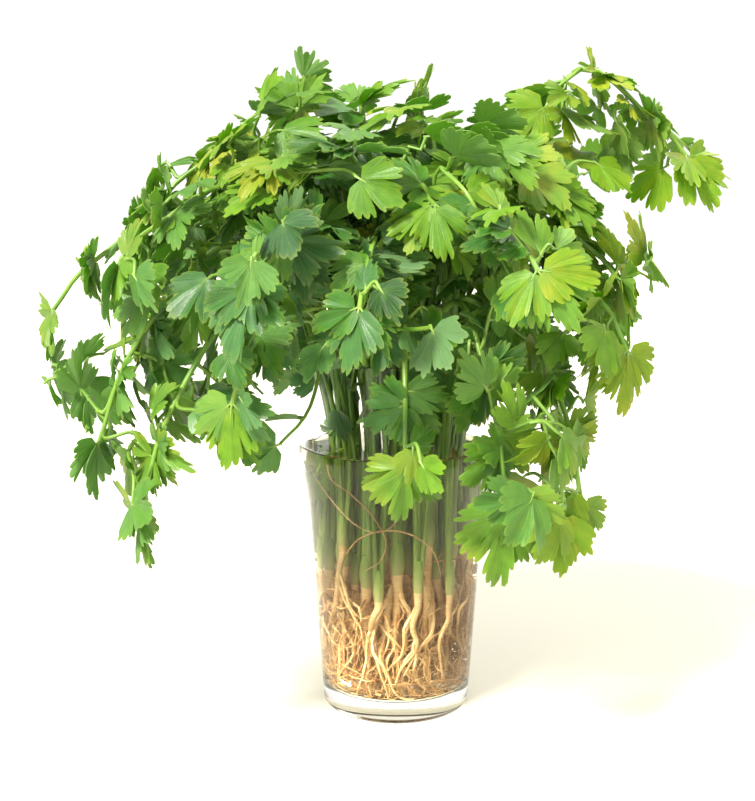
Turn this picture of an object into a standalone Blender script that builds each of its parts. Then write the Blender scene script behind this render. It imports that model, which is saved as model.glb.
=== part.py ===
"""A bunch of fresh coriander, pulled with its roots and stood in a pint tumbler of water.

The scene is in metres, +Z up, and the values below are in millimetres. The origin is the centre of the
tumbler's flat underside, and -Y is the side that faces the viewer. Each plant is one green piece, its crown
with leaf stalks and leaflets, and one tan piece, its tap root with rootlets. The tumbler and the water are
one piece each.
"""

import math
import random
from dataclasses import dataclass, field

import bmesh
import bpy
from mathutils import Matrix, Vector
from mathutils.bvhtree import BVHTree

MM = 0.001
DOWN = Vector((0, 0, -1))
SEED = 11

# Tumbler: radius and height of the outer side, from the heel up over the bulge to the rim.
GLASS_SIDE = ((29.8, 0), (31.3, 2), (34.6, 50), (37.4, 88), (41.5, 112), (39.4, 119), (39.1, 132),
              (39.8, 149.2), (39.2, 150))
GLASS_WALL = 2.2
GLASS_FLOOR, FLOOR_CORNER = 9.5, 3.5
GLASS_SEGMENTS = 28
RIM_HEIGHT, LIP_ROUNDING = 150, 0.8

# Water: its level, and the gap that it keeps to the tumbler.
WATER_LEVEL = 112
WATER_GAP = 0.3

# Plants: rings that they stand in, and the plain holes in the water that hold them.
INNER_RING, OUTER_RING = 11.0, 21.6
HOLE_RADIUS, HOLE_FLOOR, HOLE_SIDES = 5.0, 13.5, 6
CROWN_LOW, CROWN_HIGH = 52, 80
CROWN_RADIUS, CROWN_HEIGHT, CROWN_SIDES = 2.9, 13, 6
CLEARANCE = 0.35

# Roots: the tap root tapers from under the crown, and rootlets leave it all round.
ROOT_GAP = 0.3
ROOT_RADIUS, ROOT_TIP_RADIUS = 2.3, 0.6
ROOT_END, ROOT_SIDES, ROOT_RINGS = 15.5, 4, 6
ROOT_WAVER = 0.9
ROOTLETS, ROOTLET_RADIUS, ROOTLET_SIDES = 3, 0.5, 3
ROOTLET_REACH, ROOTLET_DROP, ROOTLET_ARCH = 3.5, 9.0, 1.5
GOLDEN_TURN = 0.381966

# Leaf stalks: two or three leave each crown, part in the water, lean on the rim and arch over. The
# shoulder and the bend are at shares of the way out from the rim, and the bend at a share of the drop.
STALK_RADIUS, STALK_TIP_RADIUS = 1.45, 0.85
STALK_SIDES, STALK_RINGS = 4, 4
STALK_SPREAD, TRIO_SPREAD, FOOT_SPREAD, RIM_SPREAD = 1.75, 2.0, 0.8, 2.8
STALK_SINK = 2
RIM_LEAN, RIM_OPENING, RIM_CLEARANCE = 5.5, 1.12, 6
SHOULDER_SHARE, BEND_SHARE, BEND_DROP = 0.42, 0.84, 0.52
STALK_REACH, STALK_APART = 300, 3.1
STALK_TRIES, SWAY_STEP = 60, 0.6
LINE_STEPS = 24

# Leaflets: the rim on one side of the midrib, in degrees from it and shares of the length. Its second
# point is the deep notch beside the middle lobe. The end leaflet's side lobes have a notch more.
END_TEETH = ((17, 0.92), (25, 0.55), (36, 0.92), (45, 0.73), (54, 0.78))
SIDE_TEETH = ((17, 0.92), (25, 0.55), (38, 0.94), (54, 0.76))
BLADE_THICKNESS = 0.8
BLADE_SINK = 0.4
PAIR_SPACING, PAIR_STAGGER, MOST_PAIRS = 25, 2.5, 3
SIDE_LEAFLET_SHARE = 0.88
LENGTH_RANGE, DROOP_RANGE, FOLD_RANGE = (0.9, 1.06), (0.05, 0.35), (-0.12, 0.3)

# How leaflets point: forward along the stalk, down, less outwards, and how far they stray by chance.
PAIR_FORWARD, PAIR_DOWN, END_DOWN, INWARD = 0.4, 0.25, 0.3, 0.5
STRAY, STRAY_STEP, AIM_STRAY = 0.35, 0.02, 0.6
LEAFLET_TRIES, SHRINK_STEP = 40, 0.008
FLOOR_CLEARANCE = 3

# Fronds by plant: where the end leaflet starts, the height that the stalk arches to, the end leaflet's
# length, and the number of leaflet pairs behind it.
FRONDS = {
    "centre": (((-40, -10, 250), 205, 28, 2), ((-14, -2, 252), 205, 27, 2), ((8, 10, 246), 203, 26, 2)),
    "inner_030": (((54, 18, 238), 224, 26, 1), ((34, 40, 244), 222, 26, 1)),
    "inner_090": (((14, 50, 246), 224, 26, 1), ((-16, 58, 248), 224, 27, 1)),
    "inner_150": (((-66, 24, 242), 228, 27, 1), ((-40, 34, 254), 224, 26, 1)),
    "inner_210": (((-64, -26, 238), 226, 25, 2), ((-46, -52, 228), 220, 27, 2)),
    "inner_270": (((-20, -56, 232), 220, 27, 2), ((12, -74, 212), 216, 28, 2)),
    "inner_330": (((34, -44, 232), 222, 27, 2), ((62, -36, 216), 220, 26, 2)),
    "outer_000": (((116, -8, 232), 262, 29, 2), ((86, -28, 184), 206, 31, 3)),
    "outer_030": (((94, 46, 160), 204, 28, 2), ((76, 40, 212), 230, 27, 1)),
    "outer_060": (((62, 92, 150), 200, 28, 2), ((42, 80, 206), 224, 27, 1)),
    "outer_090": (((6, 108, 140), 198, 28, 2), ((18, 96, 184), 212, 27, 1)),
    "outer_120": (((-50, 96, 150), 203, 28, 2), ((-32, 84, 206), 224, 27, 1)),
    "outer_150": (((-108, 52, 158), 206, 28, 2), ((-78, 50, 204), 226, 27, 1)),
    "outer_180": (((-141, -8, 170), 212, 29, 2), ((-92, -20, 216), 236, 28, 3)),
    "outer_210": (((-116, -42, 122), 197, 29, 2), ((-104, -50, 192), 218, 28, 3),
                  ((-97, -62, 97), 180, 25, 1)),
    "outer_240": (((-60, -76, 142), 190, 28, 2), ((-50, -94, 184), 206, 28, 3)),
    "outer_270": (((2, -80, 120), 172, 26, 1), ((-14, -100, 178), 200, 28, 3)),
    "outer_300": (((38, -84, 104), 176, 28, 2), ((46, -94, 190), 208, 28, 3)),
    "outer_330": (((70, -54, 100), 178, 27, 2), ((86, -50, 158), 196, 27, 2)),
}


@dataclass
class Leaflet:
    """One leaflet: where its blade starts, how it lies, and how it curves."""

    base: Vector
    along: Vector
    facing: Vector
    length: float
    droop: float
    fold: float
    teeth: tuple

    def point(self, bearing: float, share: float, lift: float) -> Vector:
        """A point on the blade, by its bearing from the midrib, its share of the length, and its lift."""
        reach = self.length * share
        across = reach * math.sin(bearing)
        rise = self.fold * abs(across) - self.droop * reach * share + lift
        side = self.along.cross(self.facing)
        return self.base + self.along * (reach * math.cos(bearing)) + side * across + self.facing * rise


@dataclass
class Stalk:
    """One leaf stalk: closely spaced points along it, from the crown out, and its leaflets."""

    plant: str
    line: list
    length: float
    pairs: int
    leaflets: list = field(default_factory=list)

    def at(self, distance: float) -> Vector:
        """The point on the line at a distance back from its tip."""
        points = self.line[::-1]
        for a, b in zip(points, points[1:]):
            step = (b - a).length
            if distance <= step:
                return a.lerp(b, distance / step)
            distance -= step
        return points[-1].copy()

    def rings(self) -> list:
        """The points where the stalk bends: evenly spaced from the crown, then one at each leaflet pair."""
        whole = sum((b - a).length for a, b in zip(self.line, self.line[1:]))
        last = PAIR_SPACING * self.pairs
        even = [whole + (last - whole) * k / STALK_RINGS for k in range(STALK_RINGS)]
        return [self.at(d) for d in even] + [self.at(PAIR_SPACING * k) for k in range(self.pairs, -1, -1)]

    def node(self, pair: int, stagger: float) -> tuple:
        """Where a leaflet of a pair leaves the bent stalk, and the stalk's direction there."""
        rings = self.rings()[::-1]
        here = rings[pair]
        forward = (rings[pair - 1] - here).normalized() if pair else (here - rings[1]).normalized()
        back = (here - rings[pair + 1]).normalized()
        step = forward if stagger > 0 else back
        return here + step * stagger, (forward + back).normalized()


def plant_places() -> dict:
    """Each plant's place in the water, by its name."""
    places = {}
    for name in FRONDS:
        if name == "centre":
            places[name] = Vector((0, 0, 0))
        else:
            ring, degrees = name.split("_")
            radius = INNER_RING if ring == "inner" else OUTER_RING
            places[name] = Matrix.Rotation(math.radians(int(degrees)), 3, "Z") @ Vector((radius, 0, 0))
    return places


def smooth_line(knots: list) -> list:
    """Points along a Catmull-Rom curve through the knots."""
    ends = [2 * knots[0] - knots[1], *knots, 2 * knots[-1] - knots[-2]]
    points = []
    for a, b, c, d in zip(ends, ends[1:], ends[2:], ends[3:]):
        for k in range(LINE_STEPS):
            t = k / LINE_STEPS
            bend = (2 * a - 5 * b + 4 * c - d) * t * t + (3 * b - a - 3 * c + d) * t ** 3
            points.append(0.5 * (2 * b + (c - a) * t + bend))
    return [*points, knots[-1].copy()]


def stalk_line(place: Vector, crown: float, offset: Vector, trio: bool, tip: Vector, peak: float,
               sway: Vector) -> list:
    """A stalk's line from its crown up through the water, over the rim, and out to the tip."""
    foot = place + offset * FOOT_SPREAD + Vector((0, 0, crown + STALK_SINK))
    surface = place + offset * (TRIO_SPREAD if trio else STALK_SPREAD)
    surface.z = WATER_LEVEL
    outward = Vector((tip.x, tip.y, 0)).normalized()
    rim = place * RIM_OPENING + offset * RIM_SPREAD + outward * RIM_LEAN
    shoulder = rim.lerp(tip, SHOULDER_SHARE) + sway
    bend = rim.lerp(tip, BEND_SHARE) + sway / 2
    rim.z = RIM_HEIGHT + RIM_CLEARANCE
    shoulder.z = peak + sway.z
    bend.z = peak + (tip.z - peak) * BEND_DROP + sway.z / 2
    return smooth_line([foot, surface, rim, shoulder, bend, tip])


def stalk_offset(fronds: tuple, index: int) -> Vector:
    """Which way a stalk stands off its plant's middle: the side that its tip is on among the plant's."""
    tips = [Vector(frond[0]).to_2d() for frond in fronds]
    middle = sum(tips, Vector((0, 0))) / len(tips)
    angles = [math.atan2(*(tip - middle).yx) for tip in tips]
    order = sorted(range(len(tips)), key=angles.__getitem__)
    turn = angles[order[0]] + 2 * math.pi * order.index(index) / len(tips)
    return Vector((math.cos(turn), math.sin(turn), 0))


def tube(points: list, radii: list, sides: int, reference: Vector) -> bmesh.types.BMesh:
    """A closed tube through the points, whose rings keep square to its run and level with the reference."""
    mesh = bmesh.new()
    loops = []
    for i, (point, radius) in enumerate(zip(points, radii)):
        run = (points[min(i + 1, len(points) - 1)] - points[max(i - 1, 0)]).normalized()
        across = (reference - run * reference.dot(run)).normalized()
        corner = Matrix.Rotation(math.pi / sides, 3, run) @ across
        turn = Matrix((corner, run.cross(corner), run)).transposed().to_4x4()
        ring = bmesh.ops.create_circle(mesh, segments=sides, radius=radius,
                                       matrix=Matrix.Translation(point) @ turn)["verts"]
        loops.append(ring)
    for low, high in zip(loops, loops[1:]):
        for k in range(sides):
            mesh.faces.new((low[k], low[(k + 1) % sides], high[(k + 1) % sides], high[k]))
    mesh.faces.new(loops[0][::-1])
    mesh.faces.new(loops[-1])
    bmesh.ops.recalc_face_normals(mesh, faces=mesh.faces[:])
    bmesh.ops.triangulate(mesh, faces=mesh.faces[:])
    return mesh


def blade(leaflet: Leaflet, thickness: float) -> bmesh.types.BMesh:
    """A leaflet's blade, from its pointed base to its toothed rim, with both faces split alike."""
    half = [(math.radians(degrees), share) for degrees, share in leaflet.teeth]
    outline = [(-bearing, share) for bearing, share in reversed(half)] + [(0, 1)] + half
    mesh = bmesh.new()
    base = mesh.verts.new(leaflet.point(0, 0, -thickness / 2))
    rim = [mesh.verts.new(leaflet.point(bearing, share, -thickness / 2)) for bearing, share in outline]
    left = len(half) - 2
    right = left + 4
    lobes = (rim[:left + 1], rim[left:right + 1], rim[right:])
    for corners in ((base, rim[0], rim[-1]), (rim[0], rim[left], rim[right], rim[-1]), *lobes):
        mesh.faces.new(corners)
    bmesh.ops.triangulate(mesh, faces=mesh.faces[:], ngon_method="BEAUTY")
    grown = bmesh.ops.extrude_face_region(mesh, geom=mesh.faces[:])["geom"]
    upper = [piece for piece in grown if isinstance(piece, bmesh.types.BMVert)]
    bmesh.ops.translate(mesh, verts=upper, vec=leaflet.facing * thickness)
    bmesh.ops.recalc_face_normals(mesh, faces=mesh.faces[:])
    bmesh.ops.triangulate(mesh, faces=[face for face in mesh.faces if len(face.verts) > 3])
    return mesh


def stalk_tube(stalk: Stalk, growth: float) -> bmesh.types.BMesh:
    """A stalk's tapered tube, thickened by a growth."""
    rings = stalk.rings()
    last = len(rings) - 1
    radii = [STALK_RADIUS + (STALK_TIP_RADIUS - STALK_RADIUS) * k / last + growth for k in range(last + 1)]
    outward = Vector((stalk.line[-1].x, stalk.line[-1].y, 0))
    return tube(rings, radii, STALK_SIDES, outward.cross(DOWN).normalized())


def lathe(profile: list, segments: int) -> bmesh.types.BMesh:
    """A closed profile of radius and height turned about the Z axis, with its two ends on the axis."""
    mesh = bmesh.new()
    verts = [mesh.verts.new((radius, 0, height)) for radius, height in profile]
    edges = [mesh.edges.new(pair) for pair in zip(verts, verts[1:])]
    bmesh.ops.spin(mesh, geom=verts + edges, axis=(0, 0, 1), cent=(0, 0, 0),
                   angle=2 * math.pi, steps=segments, use_merge=True)
    bmesh.ops.remove_doubles(mesh, verts=mesh.verts[:], dist=0.01)
    bmesh.ops.recalc_face_normals(mesh, faces=mesh.faces[:])
    return mesh


def inner_side(gap: float, top: float) -> list:
    """The tumbler's inside from its floor up to a height, moved inwards by a gap."""
    def wall(height: float) -> float:
        for (r0, z0), (r1, z1) in zip(GLASS_SIDE, GLASS_SIDE[1:]):
            if z0 <= height <= z1:
                return r0 + (r1 - r0) * (height - z0) / (z1 - z0) - GLASS_WALL - gap
        return GLASS_SIDE[-1][0] - GLASS_WALL - gap

    floor = GLASS_FLOOR + gap
    foot = floor + FLOOR_CORNER
    heights = [foot, *[z for _, z in GLASS_SIDE if foot < z < top - 1], top]
    rounded = [(wall(foot) - FLOOR_CORNER * (1 - math.sin(turn)), foot - FLOOR_CORNER * math.cos(turn))
               for turn in (0, math.pi / 4)]
    return rounded + [(wall(z), z) for z in heights]


def glass_profile() -> list:
    """The tumbler's section: its underside, outer side, lip, inside and inner floor."""
    lip = (GLASS_SIDE[-2][0] - GLASS_WALL + LIP_ROUNDING, RIM_HEIGHT)
    return [(0, 0), *GLASS_SIDE, lip, *inner_side(0, RIM_HEIGHT - LIP_ROUNDING)[::-1], (0, GLASS_FLOOR)]


class Clearing:
    """What has been placed so far, which each new shape keeps clear of."""

    def __init__(self) -> None:
        self.shapes = []

    def free(self, tree: BVHTree, centre: Vector, reach: float, joined: list) -> bool:
        """Whether a shape crosses nothing that is near it, apart from the stalks that it is joined to."""
        for other, place, extent, stalk in self.shapes:
            near = (centre - place).length < reach + extent
            if near and not any(stalk is part for part in joined) and tree.overlap(other):
                return False
        return True

    def add(self, tree: BVHTree, centre: Vector, reach: float, stalk: object = None) -> None:
        """Keeps a placed shape, with the sphere round it and the stalk that it is, if it is one."""
        self.shapes.append((tree, centre, reach, stalk))


def tree_of(mesh: bmesh.types.BMesh) -> BVHTree:
    """A search tree of a mesh, which is freed."""
    tree = BVHTree.FromBMesh(mesh)
    mesh.free()
    return tree


def place_stalks(rng: random.Random, clearing: Clearing) -> tuple:
    """Every stalk, swayed until it crosses no other, and each crown's height."""
    stalks = []
    crowns = {}
    for name, place in plant_places().items():
        crowns[name] = rng.uniform(CROWN_LOW, CROWN_HIGH)
        grown = []
        for index, (tip, peak, length, pairs) in enumerate(FRONDS[name]):
            offset = stalk_offset(FRONDS[name], index)
            for attempt in range(STALK_TRIES):
                sway = Vector((rng.uniform(-1, 1), rng.uniform(-1, 1), rng.uniform(-0.5, 0.5)))
                sway *= attempt * SWAY_STEP
                line = stalk_line(place, crowns[name], offset, len(FRONDS[name]) > 2, Vector(tip), peak, sway)
                stalk = Stalk(name, line, length, pairs)
                tree = tree_of(stalk_tube(stalk, CLEARANCE / 2))
                apart = all((a - b).length > STALK_APART for other in grown
                            for a, b in zip(line[LINE_STEPS:], other.line[LINE_STEPS:]))
                if apart and clearing.free(tree, Vector((0, 0, RIM_HEIGHT)), 0, grown):
                    break
            grown.append(stalk)
            clearing.add(tree, Vector((0, 0, RIM_HEIGHT)), STALK_REACH, stalk)
        stalks.extend(grown)
    return stalks, crowns


def leaflet_at(stalk: Stalk, pair: int, side: int, attempt: int, rng: random.Random) -> Leaflet:
    """A leaflet that hangs from a stalk and faces out of the bunch. Each further attempt turns it more."""
    base, run = stalk.node(pair, side * PAIR_STAGGER)
    heart = Vector((0, 0, min(RIM_HEIGHT, base.z)))
    out = (base - heart).normalized()
    across = run.cross(out).normalized()
    stray = STRAY + attempt * STRAY_STEP
    along = run * PAIR_FORWARD + across * side + DOWN * PAIR_DOWN if pair else run + DOWN * END_DOWN
    along += Vector([rng.gauss(0, stray * AIM_STRAY) for _ in range(3)])
    along = (along - out * along.dot(out) * INWARD).normalized()
    facing = out + Vector([rng.gauss(0, stray) for _ in range(3)])
    facing = (facing - along * facing.dot(along)).normalized()
    length = stalk.length * (SIDE_LEAFLET_SHARE if pair else 1)
    length *= rng.uniform(*LENGTH_RANGE) * (1 - attempt * SHRINK_STEP)
    droop = rng.uniform(*DROOP_RANGE)
    fold = rng.uniform(*FOLD_RANGE)
    teeth = SIDE_TEETH if pair else END_TEETH
    return Leaflet(base - along * BLADE_SINK, along, facing, length, droop, fold, teeth)


def place_leaflets(stalks: list, rng: random.Random, clearing: Clearing) -> None:
    """Leaflets on every stalk, the end ones first, each turned until it crosses nothing."""
    nodes = [(stalk, 0, 0) for stalk in stalks]
    for pair in range(1, MOST_PAIRS + 1):
        nodes += [(stalk, pair, side) for stalk in stalks for side in (-1, 1) if pair <= stalk.pairs]
    for stalk, pair, side in nodes:
        for attempt in range(LEAFLET_TRIES):
            leaflet = leaflet_at(stalk, pair, side, attempt, rng)
            mesh = blade(leaflet, BLADE_THICKNESS + 2 * CLEARANCE)
            low = min(vert.co.z for vert in mesh.verts)
            tree = tree_of(mesh)
            if low > FLOOR_CLEARANCE and clearing.free(tree, leaflet.base, leaflet.length, [stalk]):
                stalk.leaflets.append(leaflet)
                clearing.add(tree, leaflet.base, leaflet.length)
                break


def root_pieces(place: Vector, crown: float, rng: random.Random) -> list:
    """A plant's tap root, which wavers down its hole, and rootlets that droop from it all round."""
    top = crown - ROOT_GAP
    points = []
    for k in range(ROOT_RINGS):
        share = k / (ROOT_RINGS - 1)
        waver = Vector((rng.uniform(-1, 1), rng.uniform(-1, 1), 0)) * ROOT_WAVER * min(1, k)
        points.append(place + waver + Vector((0, 0, top + (ROOT_END - top) * share)))
    radii = [ROOT_RADIUS + (ROOT_TIP_RADIUS - ROOT_RADIUS) * k / (ROOT_RINGS - 1) for k in range(ROOT_RINGS)]
    pieces = [tube(points, radii, ROOT_SIDES, Vector((1, 0, 0)))]
    for k in range(ROOTLETS):
        start = points[1 + k].lerp(points[2 + k], rng.uniform(0.3, 0.6))
        angle = 2 * math.pi * (k * GOLDEN_TURN + rng.uniform(-0.05, 0.05))
        away = Vector((math.cos(angle), math.sin(angle), 0))
        reach = place + away * ROOTLET_REACH
        end = Vector((reach.x, reach.y, start.z - ROOTLET_DROP))
        middle = start.lerp(end, 0.55) + Vector((0, 0, ROOTLET_ARCH))
        pieces.append(tube([start, middle, end], [ROOTLET_RADIUS] * 3, ROOTLET_SIDES, away.cross(DOWN)))
    return pieces


def finish(name: str, colour: tuple, roughness: float) -> bpy.types.Material:
    """A plain finish with its own colour and roughness."""
    material = bpy.data.materials.new(name)
    material.use_nodes = True
    shader = material.node_tree.nodes["Principled BSDF"]
    shader.inputs["Base Color"].default_value = (*colour, 1)
    shader.inputs["Roughness"].default_value = roughness
    shader.inputs["Metallic"].default_value = 0
    return material


def make_object(name: str, mesh: bmesh.types.BMesh, material: bpy.types.Material) -> bpy.types.Object:
    """A named object from a mesh in millimetres, with its material. The mesh is freed."""
    bmesh.ops.scale(mesh, vec=(MM, MM, MM), verts=mesh.verts[:])
    data = bpy.data.meshes.new(name)
    mesh.to_mesh(data)
    mesh.free()
    data.materials.append(material)
    data.shade_smooth()
    data.set_sharp_from_angle(angle=math.radians(35))
    thing = bpy.data.objects.new(name, data)
    bpy.context.scene.collection.objects.link(thing)
    return thing


def combine(thing: bpy.types.Object, pieces: list, operation: str) -> None:
    """Applies one Boolean of an object with a collection of pieces, and removes the pieces."""
    group = bpy.data.collections.new(thing.name + "_pieces")
    bpy.context.scene.collection.children.link(group)
    for piece in pieces:
        bpy.context.scene.collection.objects.unlink(piece)
        group.objects.link(piece)
    boolean = thing.modifiers.new("Boolean", "BOOLEAN")
    boolean.operation = operation
    boolean.operand_type = "COLLECTION"
    boolean.collection = group
    boolean.solver = "EXACT"
    depsgraph = bpy.context.evaluated_depsgraph_get()
    result = bpy.data.meshes.new_from_object(thing.evaluated_get(depsgraph))
    thing.modifiers.clear()
    old = thing.data
    thing.data = result
    result.name = thing.name
    bpy.data.meshes.remove(old)
    for piece in pieces:
        bpy.data.meshes.remove(piece.data)
    bpy.data.collections.remove(group)


def build_glass(material: bpy.types.Material) -> None:
    """The tumbler: a thick clear foot, a thin wall with a bulge below the rim, and a rounded lip."""
    make_object("glass", lathe(glass_profile(), GLASS_SEGMENTS), material)


def build_water(material: bpy.types.Material) -> None:
    """The water, with a plain hole for each plant."""
    profile = [(0, GLASS_FLOOR + WATER_GAP), *inner_side(WATER_GAP, WATER_LEVEL), (0, WATER_LEVEL)]
    water = make_object("water", lathe(profile, GLASS_SEGMENTS), material)
    cutters = []
    for name, place in plant_places().items():
        ends = [place + Vector((0, 0, HOLE_FLOOR)), place + Vector((0, 0, WATER_LEVEL + 5))]
        mesh = tube(ends, [HOLE_RADIUS] * 2, HOLE_SIDES, Vector((1, 0, 0)))
        cutters.append(make_object("hole_" + name, mesh, material))
    combine(water, cutters, "DIFFERENCE")


def build_plants(green: bpy.types.Material, tan: bpy.types.Material) -> None:
    """Every plant's green piece and root."""
    rng = random.Random(SEED)
    clearing = Clearing()
    tumbler = tree_of(lathe(glass_profile(), GLASS_SEGMENTS))
    clearing.add(tumbler, Vector((0, 0, RIM_HEIGHT / 2)), RIM_HEIGHT)
    stalks, crowns = place_stalks(rng, clearing)
    place_leaflets(stalks, rng, clearing)
    for name, place in plant_places().items():
        base = Vector((0, 0, crowns[name]))
        ends = [place + base, place + base + Vector((0, 0, CROWN_HEIGHT))]
        crown = tube(ends, [CROWN_RADIUS, CROWN_RADIUS * 0.9], CROWN_SIDES, Vector((1, 0, 0)))
        plant = make_object("plant_" + name, crown, green)
        own = [stalk for stalk in stalks if stalk.plant == name]
        meshes = [stalk_tube(stalk, 0) for stalk in own]
        meshes += [blade(leaflet, BLADE_THICKNESS) for stalk in own for leaflet in stalk.leaflets]
        combine(plant, [make_object(name, mesh, green) for mesh in meshes], "UNION")
        tap, *rootlets = root_pieces(place, crowns[name], rng)
        root = make_object("root_" + name, tap, tan)
        combine(root, [make_object(name, mesh, tan) for mesh in rootlets], "UNION")


def main() -> None:
    """Builds every piece in an empty scene."""
    for thing in list(bpy.data.objects):
        bpy.data.objects.remove(thing)
    build_glass(finish("clear_glass", (0.93, 0.96, 0.95), 0.03))
    build_water(finish("water", (0.86, 0.83, 0.72), 0.03))
    build_plants(finish("leaf_green", (0.13, 0.33, 0.05), 0.45), finish("root_tan", (0.62, 0.45, 0.26), 0.7))


main()
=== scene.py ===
"""The finished surfaces of a bunch of fresh coriander that stands with its roots on in a tumbler of water.

Sizes are in millimetres while a piece is made, and its mesh is brought to metres when it is finished. The
stalks and leaflets of the solids are laid out again here from the same values, and more are added between
them. -Y is the side that faces the viewer.
"""

import logging
import math
import random
from dataclasses import dataclass, field
from enum import Enum
from typing import Callable, Sequence

import bmesh
import bpy
from mathutils import Matrix, Vector, noise
from mathutils.bvhtree import BVHTree


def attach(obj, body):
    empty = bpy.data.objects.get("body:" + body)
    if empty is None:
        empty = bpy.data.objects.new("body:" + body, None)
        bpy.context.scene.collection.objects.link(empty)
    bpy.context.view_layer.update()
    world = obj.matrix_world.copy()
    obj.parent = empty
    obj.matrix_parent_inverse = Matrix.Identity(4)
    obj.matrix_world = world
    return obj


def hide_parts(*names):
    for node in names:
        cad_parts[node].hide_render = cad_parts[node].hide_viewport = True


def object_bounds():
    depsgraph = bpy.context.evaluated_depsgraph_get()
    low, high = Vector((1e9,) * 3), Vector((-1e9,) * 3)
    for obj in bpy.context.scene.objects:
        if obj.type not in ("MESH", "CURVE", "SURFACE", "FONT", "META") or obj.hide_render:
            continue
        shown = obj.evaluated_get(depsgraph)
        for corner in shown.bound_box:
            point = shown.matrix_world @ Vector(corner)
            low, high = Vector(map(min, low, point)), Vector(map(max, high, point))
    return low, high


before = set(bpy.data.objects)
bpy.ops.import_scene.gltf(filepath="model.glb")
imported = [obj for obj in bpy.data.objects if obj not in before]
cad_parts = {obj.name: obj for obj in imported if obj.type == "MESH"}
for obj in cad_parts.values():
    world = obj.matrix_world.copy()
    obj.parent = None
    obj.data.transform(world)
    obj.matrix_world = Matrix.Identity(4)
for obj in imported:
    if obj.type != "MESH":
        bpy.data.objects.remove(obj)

CAD_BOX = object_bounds()
LOG = logging.getLogger("coriander")

MM = 0.001
DOWN = Vector((0, 0, -1))
UP = Vector((0, 0, 1))
SEED = 11
# The tone attribute holds a leaflet's lightness, partly its own and partly painted light and shade. The pale
# attribute holds how pale a stalk or root is, and a leaflet's painted sheen.
LIGHT_AND_TONE, PALE_AND_SHEEN, UNDER, SKIN, BLADE_MAP = "tone", "pale", "under", "skin", "blade"
TEETH, BLADES = 14, 5

Colour = tuple[float, float, float]

# The view of the photograph: the place of its eye, its pitch in degrees, and its lens and middle in pixels.
EYE = (-8, -500, 209)
PITCH = 8.84
LENS_PIXELS = 1200
PICTURE_MIDDLE = (377.5, 400.5)

# The outline of the bunch, by points picked in the photograph, in pixels of its 755 x 801 frame.
OUTLINE = (
    (35, 378), (60, 358), (82, 342), (104, 308), (112, 285), (116, 245), (128, 215), (150, 188),
    (163, 155), (190, 148), (215, 150), (236, 118), (258, 100), (268, 66), (290, 50), (306, 80),
    (340, 70), (366, 64), (388, 80), (416, 80), (428, 108), (452, 134), (476, 120), (508, 116), (512, 94),
    (560, 84), (610, 86), (662, 100), (692, 124), (702, 155), (726, 210), (704, 208), (676, 168),
    (652, 192), (640, 214), (614, 222), (622, 242), (652, 246), (674, 282), (668, 304), (638, 314),
    (626, 350), (630, 385), (600, 402), (584, 412), (586, 465), (572, 492), (592, 560), (584, 586),
    (560, 574), (515, 588), (488, 564), (468, 520), (440, 506), (385, 502), (372, 450), (340, 405),
    (305, 395), (296, 432), (262, 464), (240, 474), (214, 458), (188, 448), (192, 502), (164, 522),
    (152, 570), (138, 560), (132, 516), (88, 494), (84, 455), (94, 420), (62, 412), (36, 394))

# Fronds of the solids by plant: where the end leaflet starts, the height that the stalk arches to, the end
# leaflet's length, and the number of leaflet pairs behind it.
FRONDS = {
    "centre": (((-40, -10, 250), 205, 28, 2), ((-14, -2, 252), 205, 27, 2), ((8, 10, 246), 203, 26, 2)),
    "inner_030": (((54, 18, 238), 224, 26, 1), ((34, 40, 244), 222, 26, 1)),
    "inner_090": (((14, 50, 246), 224, 26, 1), ((-16, 58, 248), 224, 27, 1)),
    "inner_150": (((-66, 24, 242), 228, 27, 1), ((-40, 34, 254), 224, 26, 1)),
    "inner_210": (((-64, -26, 238), 226, 25, 2), ((-46, -52, 228), 220, 27, 2)),
    "inner_270": (((-20, -56, 232), 220, 27, 2), ((12, -74, 212), 216, 28, 2)),
    "inner_330": (((34, -44, 232), 222, 27, 2), ((62, -36, 216), 220, 26, 2)),
    "outer_000": (((116, -8, 232), 262, 29, 2), ((86, -28, 184), 206, 31, 3)),
    "outer_030": (((94, 46, 160), 204, 28, 2), ((76, 40, 212), 230, 27, 1)),
    "outer_060": (((62, 92, 150), 200, 28, 2), ((42, 80, 206), 224, 27, 1)),
    "outer_090": (((6, 108, 140), 198, 28, 2), ((18, 96, 184), 212, 27, 1)),
    "outer_120": (((-50, 96, 150), 203, 28, 2), ((-32, 84, 206), 224, 27, 1)),
    "outer_150": (((-108, 52, 158), 206, 28, 2), ((-78, 50, 204), 226, 27, 1)),
    "outer_180": (((-141, -8, 170), 212, 29, 2), ((-92, -20, 216), 236, 28, 3)),
    "outer_210": (((-116, -42, 122), 197, 29, 2), ((-104, -50, 192), 218, 28, 3),
                  ((-97, -62, 97), 180, 25, 1)),
    "outer_240": (((-60, -76, 142), 190, 28, 2), ((-50, -94, 184), 206, 28, 3)),
    "outer_270": (((2, -80, 120), 172, 26, 1), ((-14, -100, 178), 200, 28, 3)),
    "outer_300": (((38, -84, 104), 176, 28, 2), ((46, -94, 190), 208, 28, 3)),
    "outer_330": (((70, -54, 100), 178, 27, 2), ((86, -50, 158), 196, 27, 2)),
}


def seen(column: float, row: float, depth: float = 0) -> tuple[float, float, float]:
    """Finds the place of a point that was picked in the photograph, to a whole millimetre.

    Args:
        column: Its pixels from the left.
        row: Its pixels from the top.
        depth: How far behind the plane through the origin it is taken to be.

    Returns:
        The place.
    """
    pitch = math.radians(PITCH)
    distance = depth - EYE[1]
    height = EYE[2] - distance * math.tan(pitch + math.atan((row - PICTURE_MIDDLE[1]) / LENS_PIXELS))
    away = distance * math.cos(pitch) + (EYE[2] - height) * math.sin(pitch)
    return round((column - PICTURE_MIDDLE[0]) / LENS_PIXELS * away + EYE[0]), depth, round(height)


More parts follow.
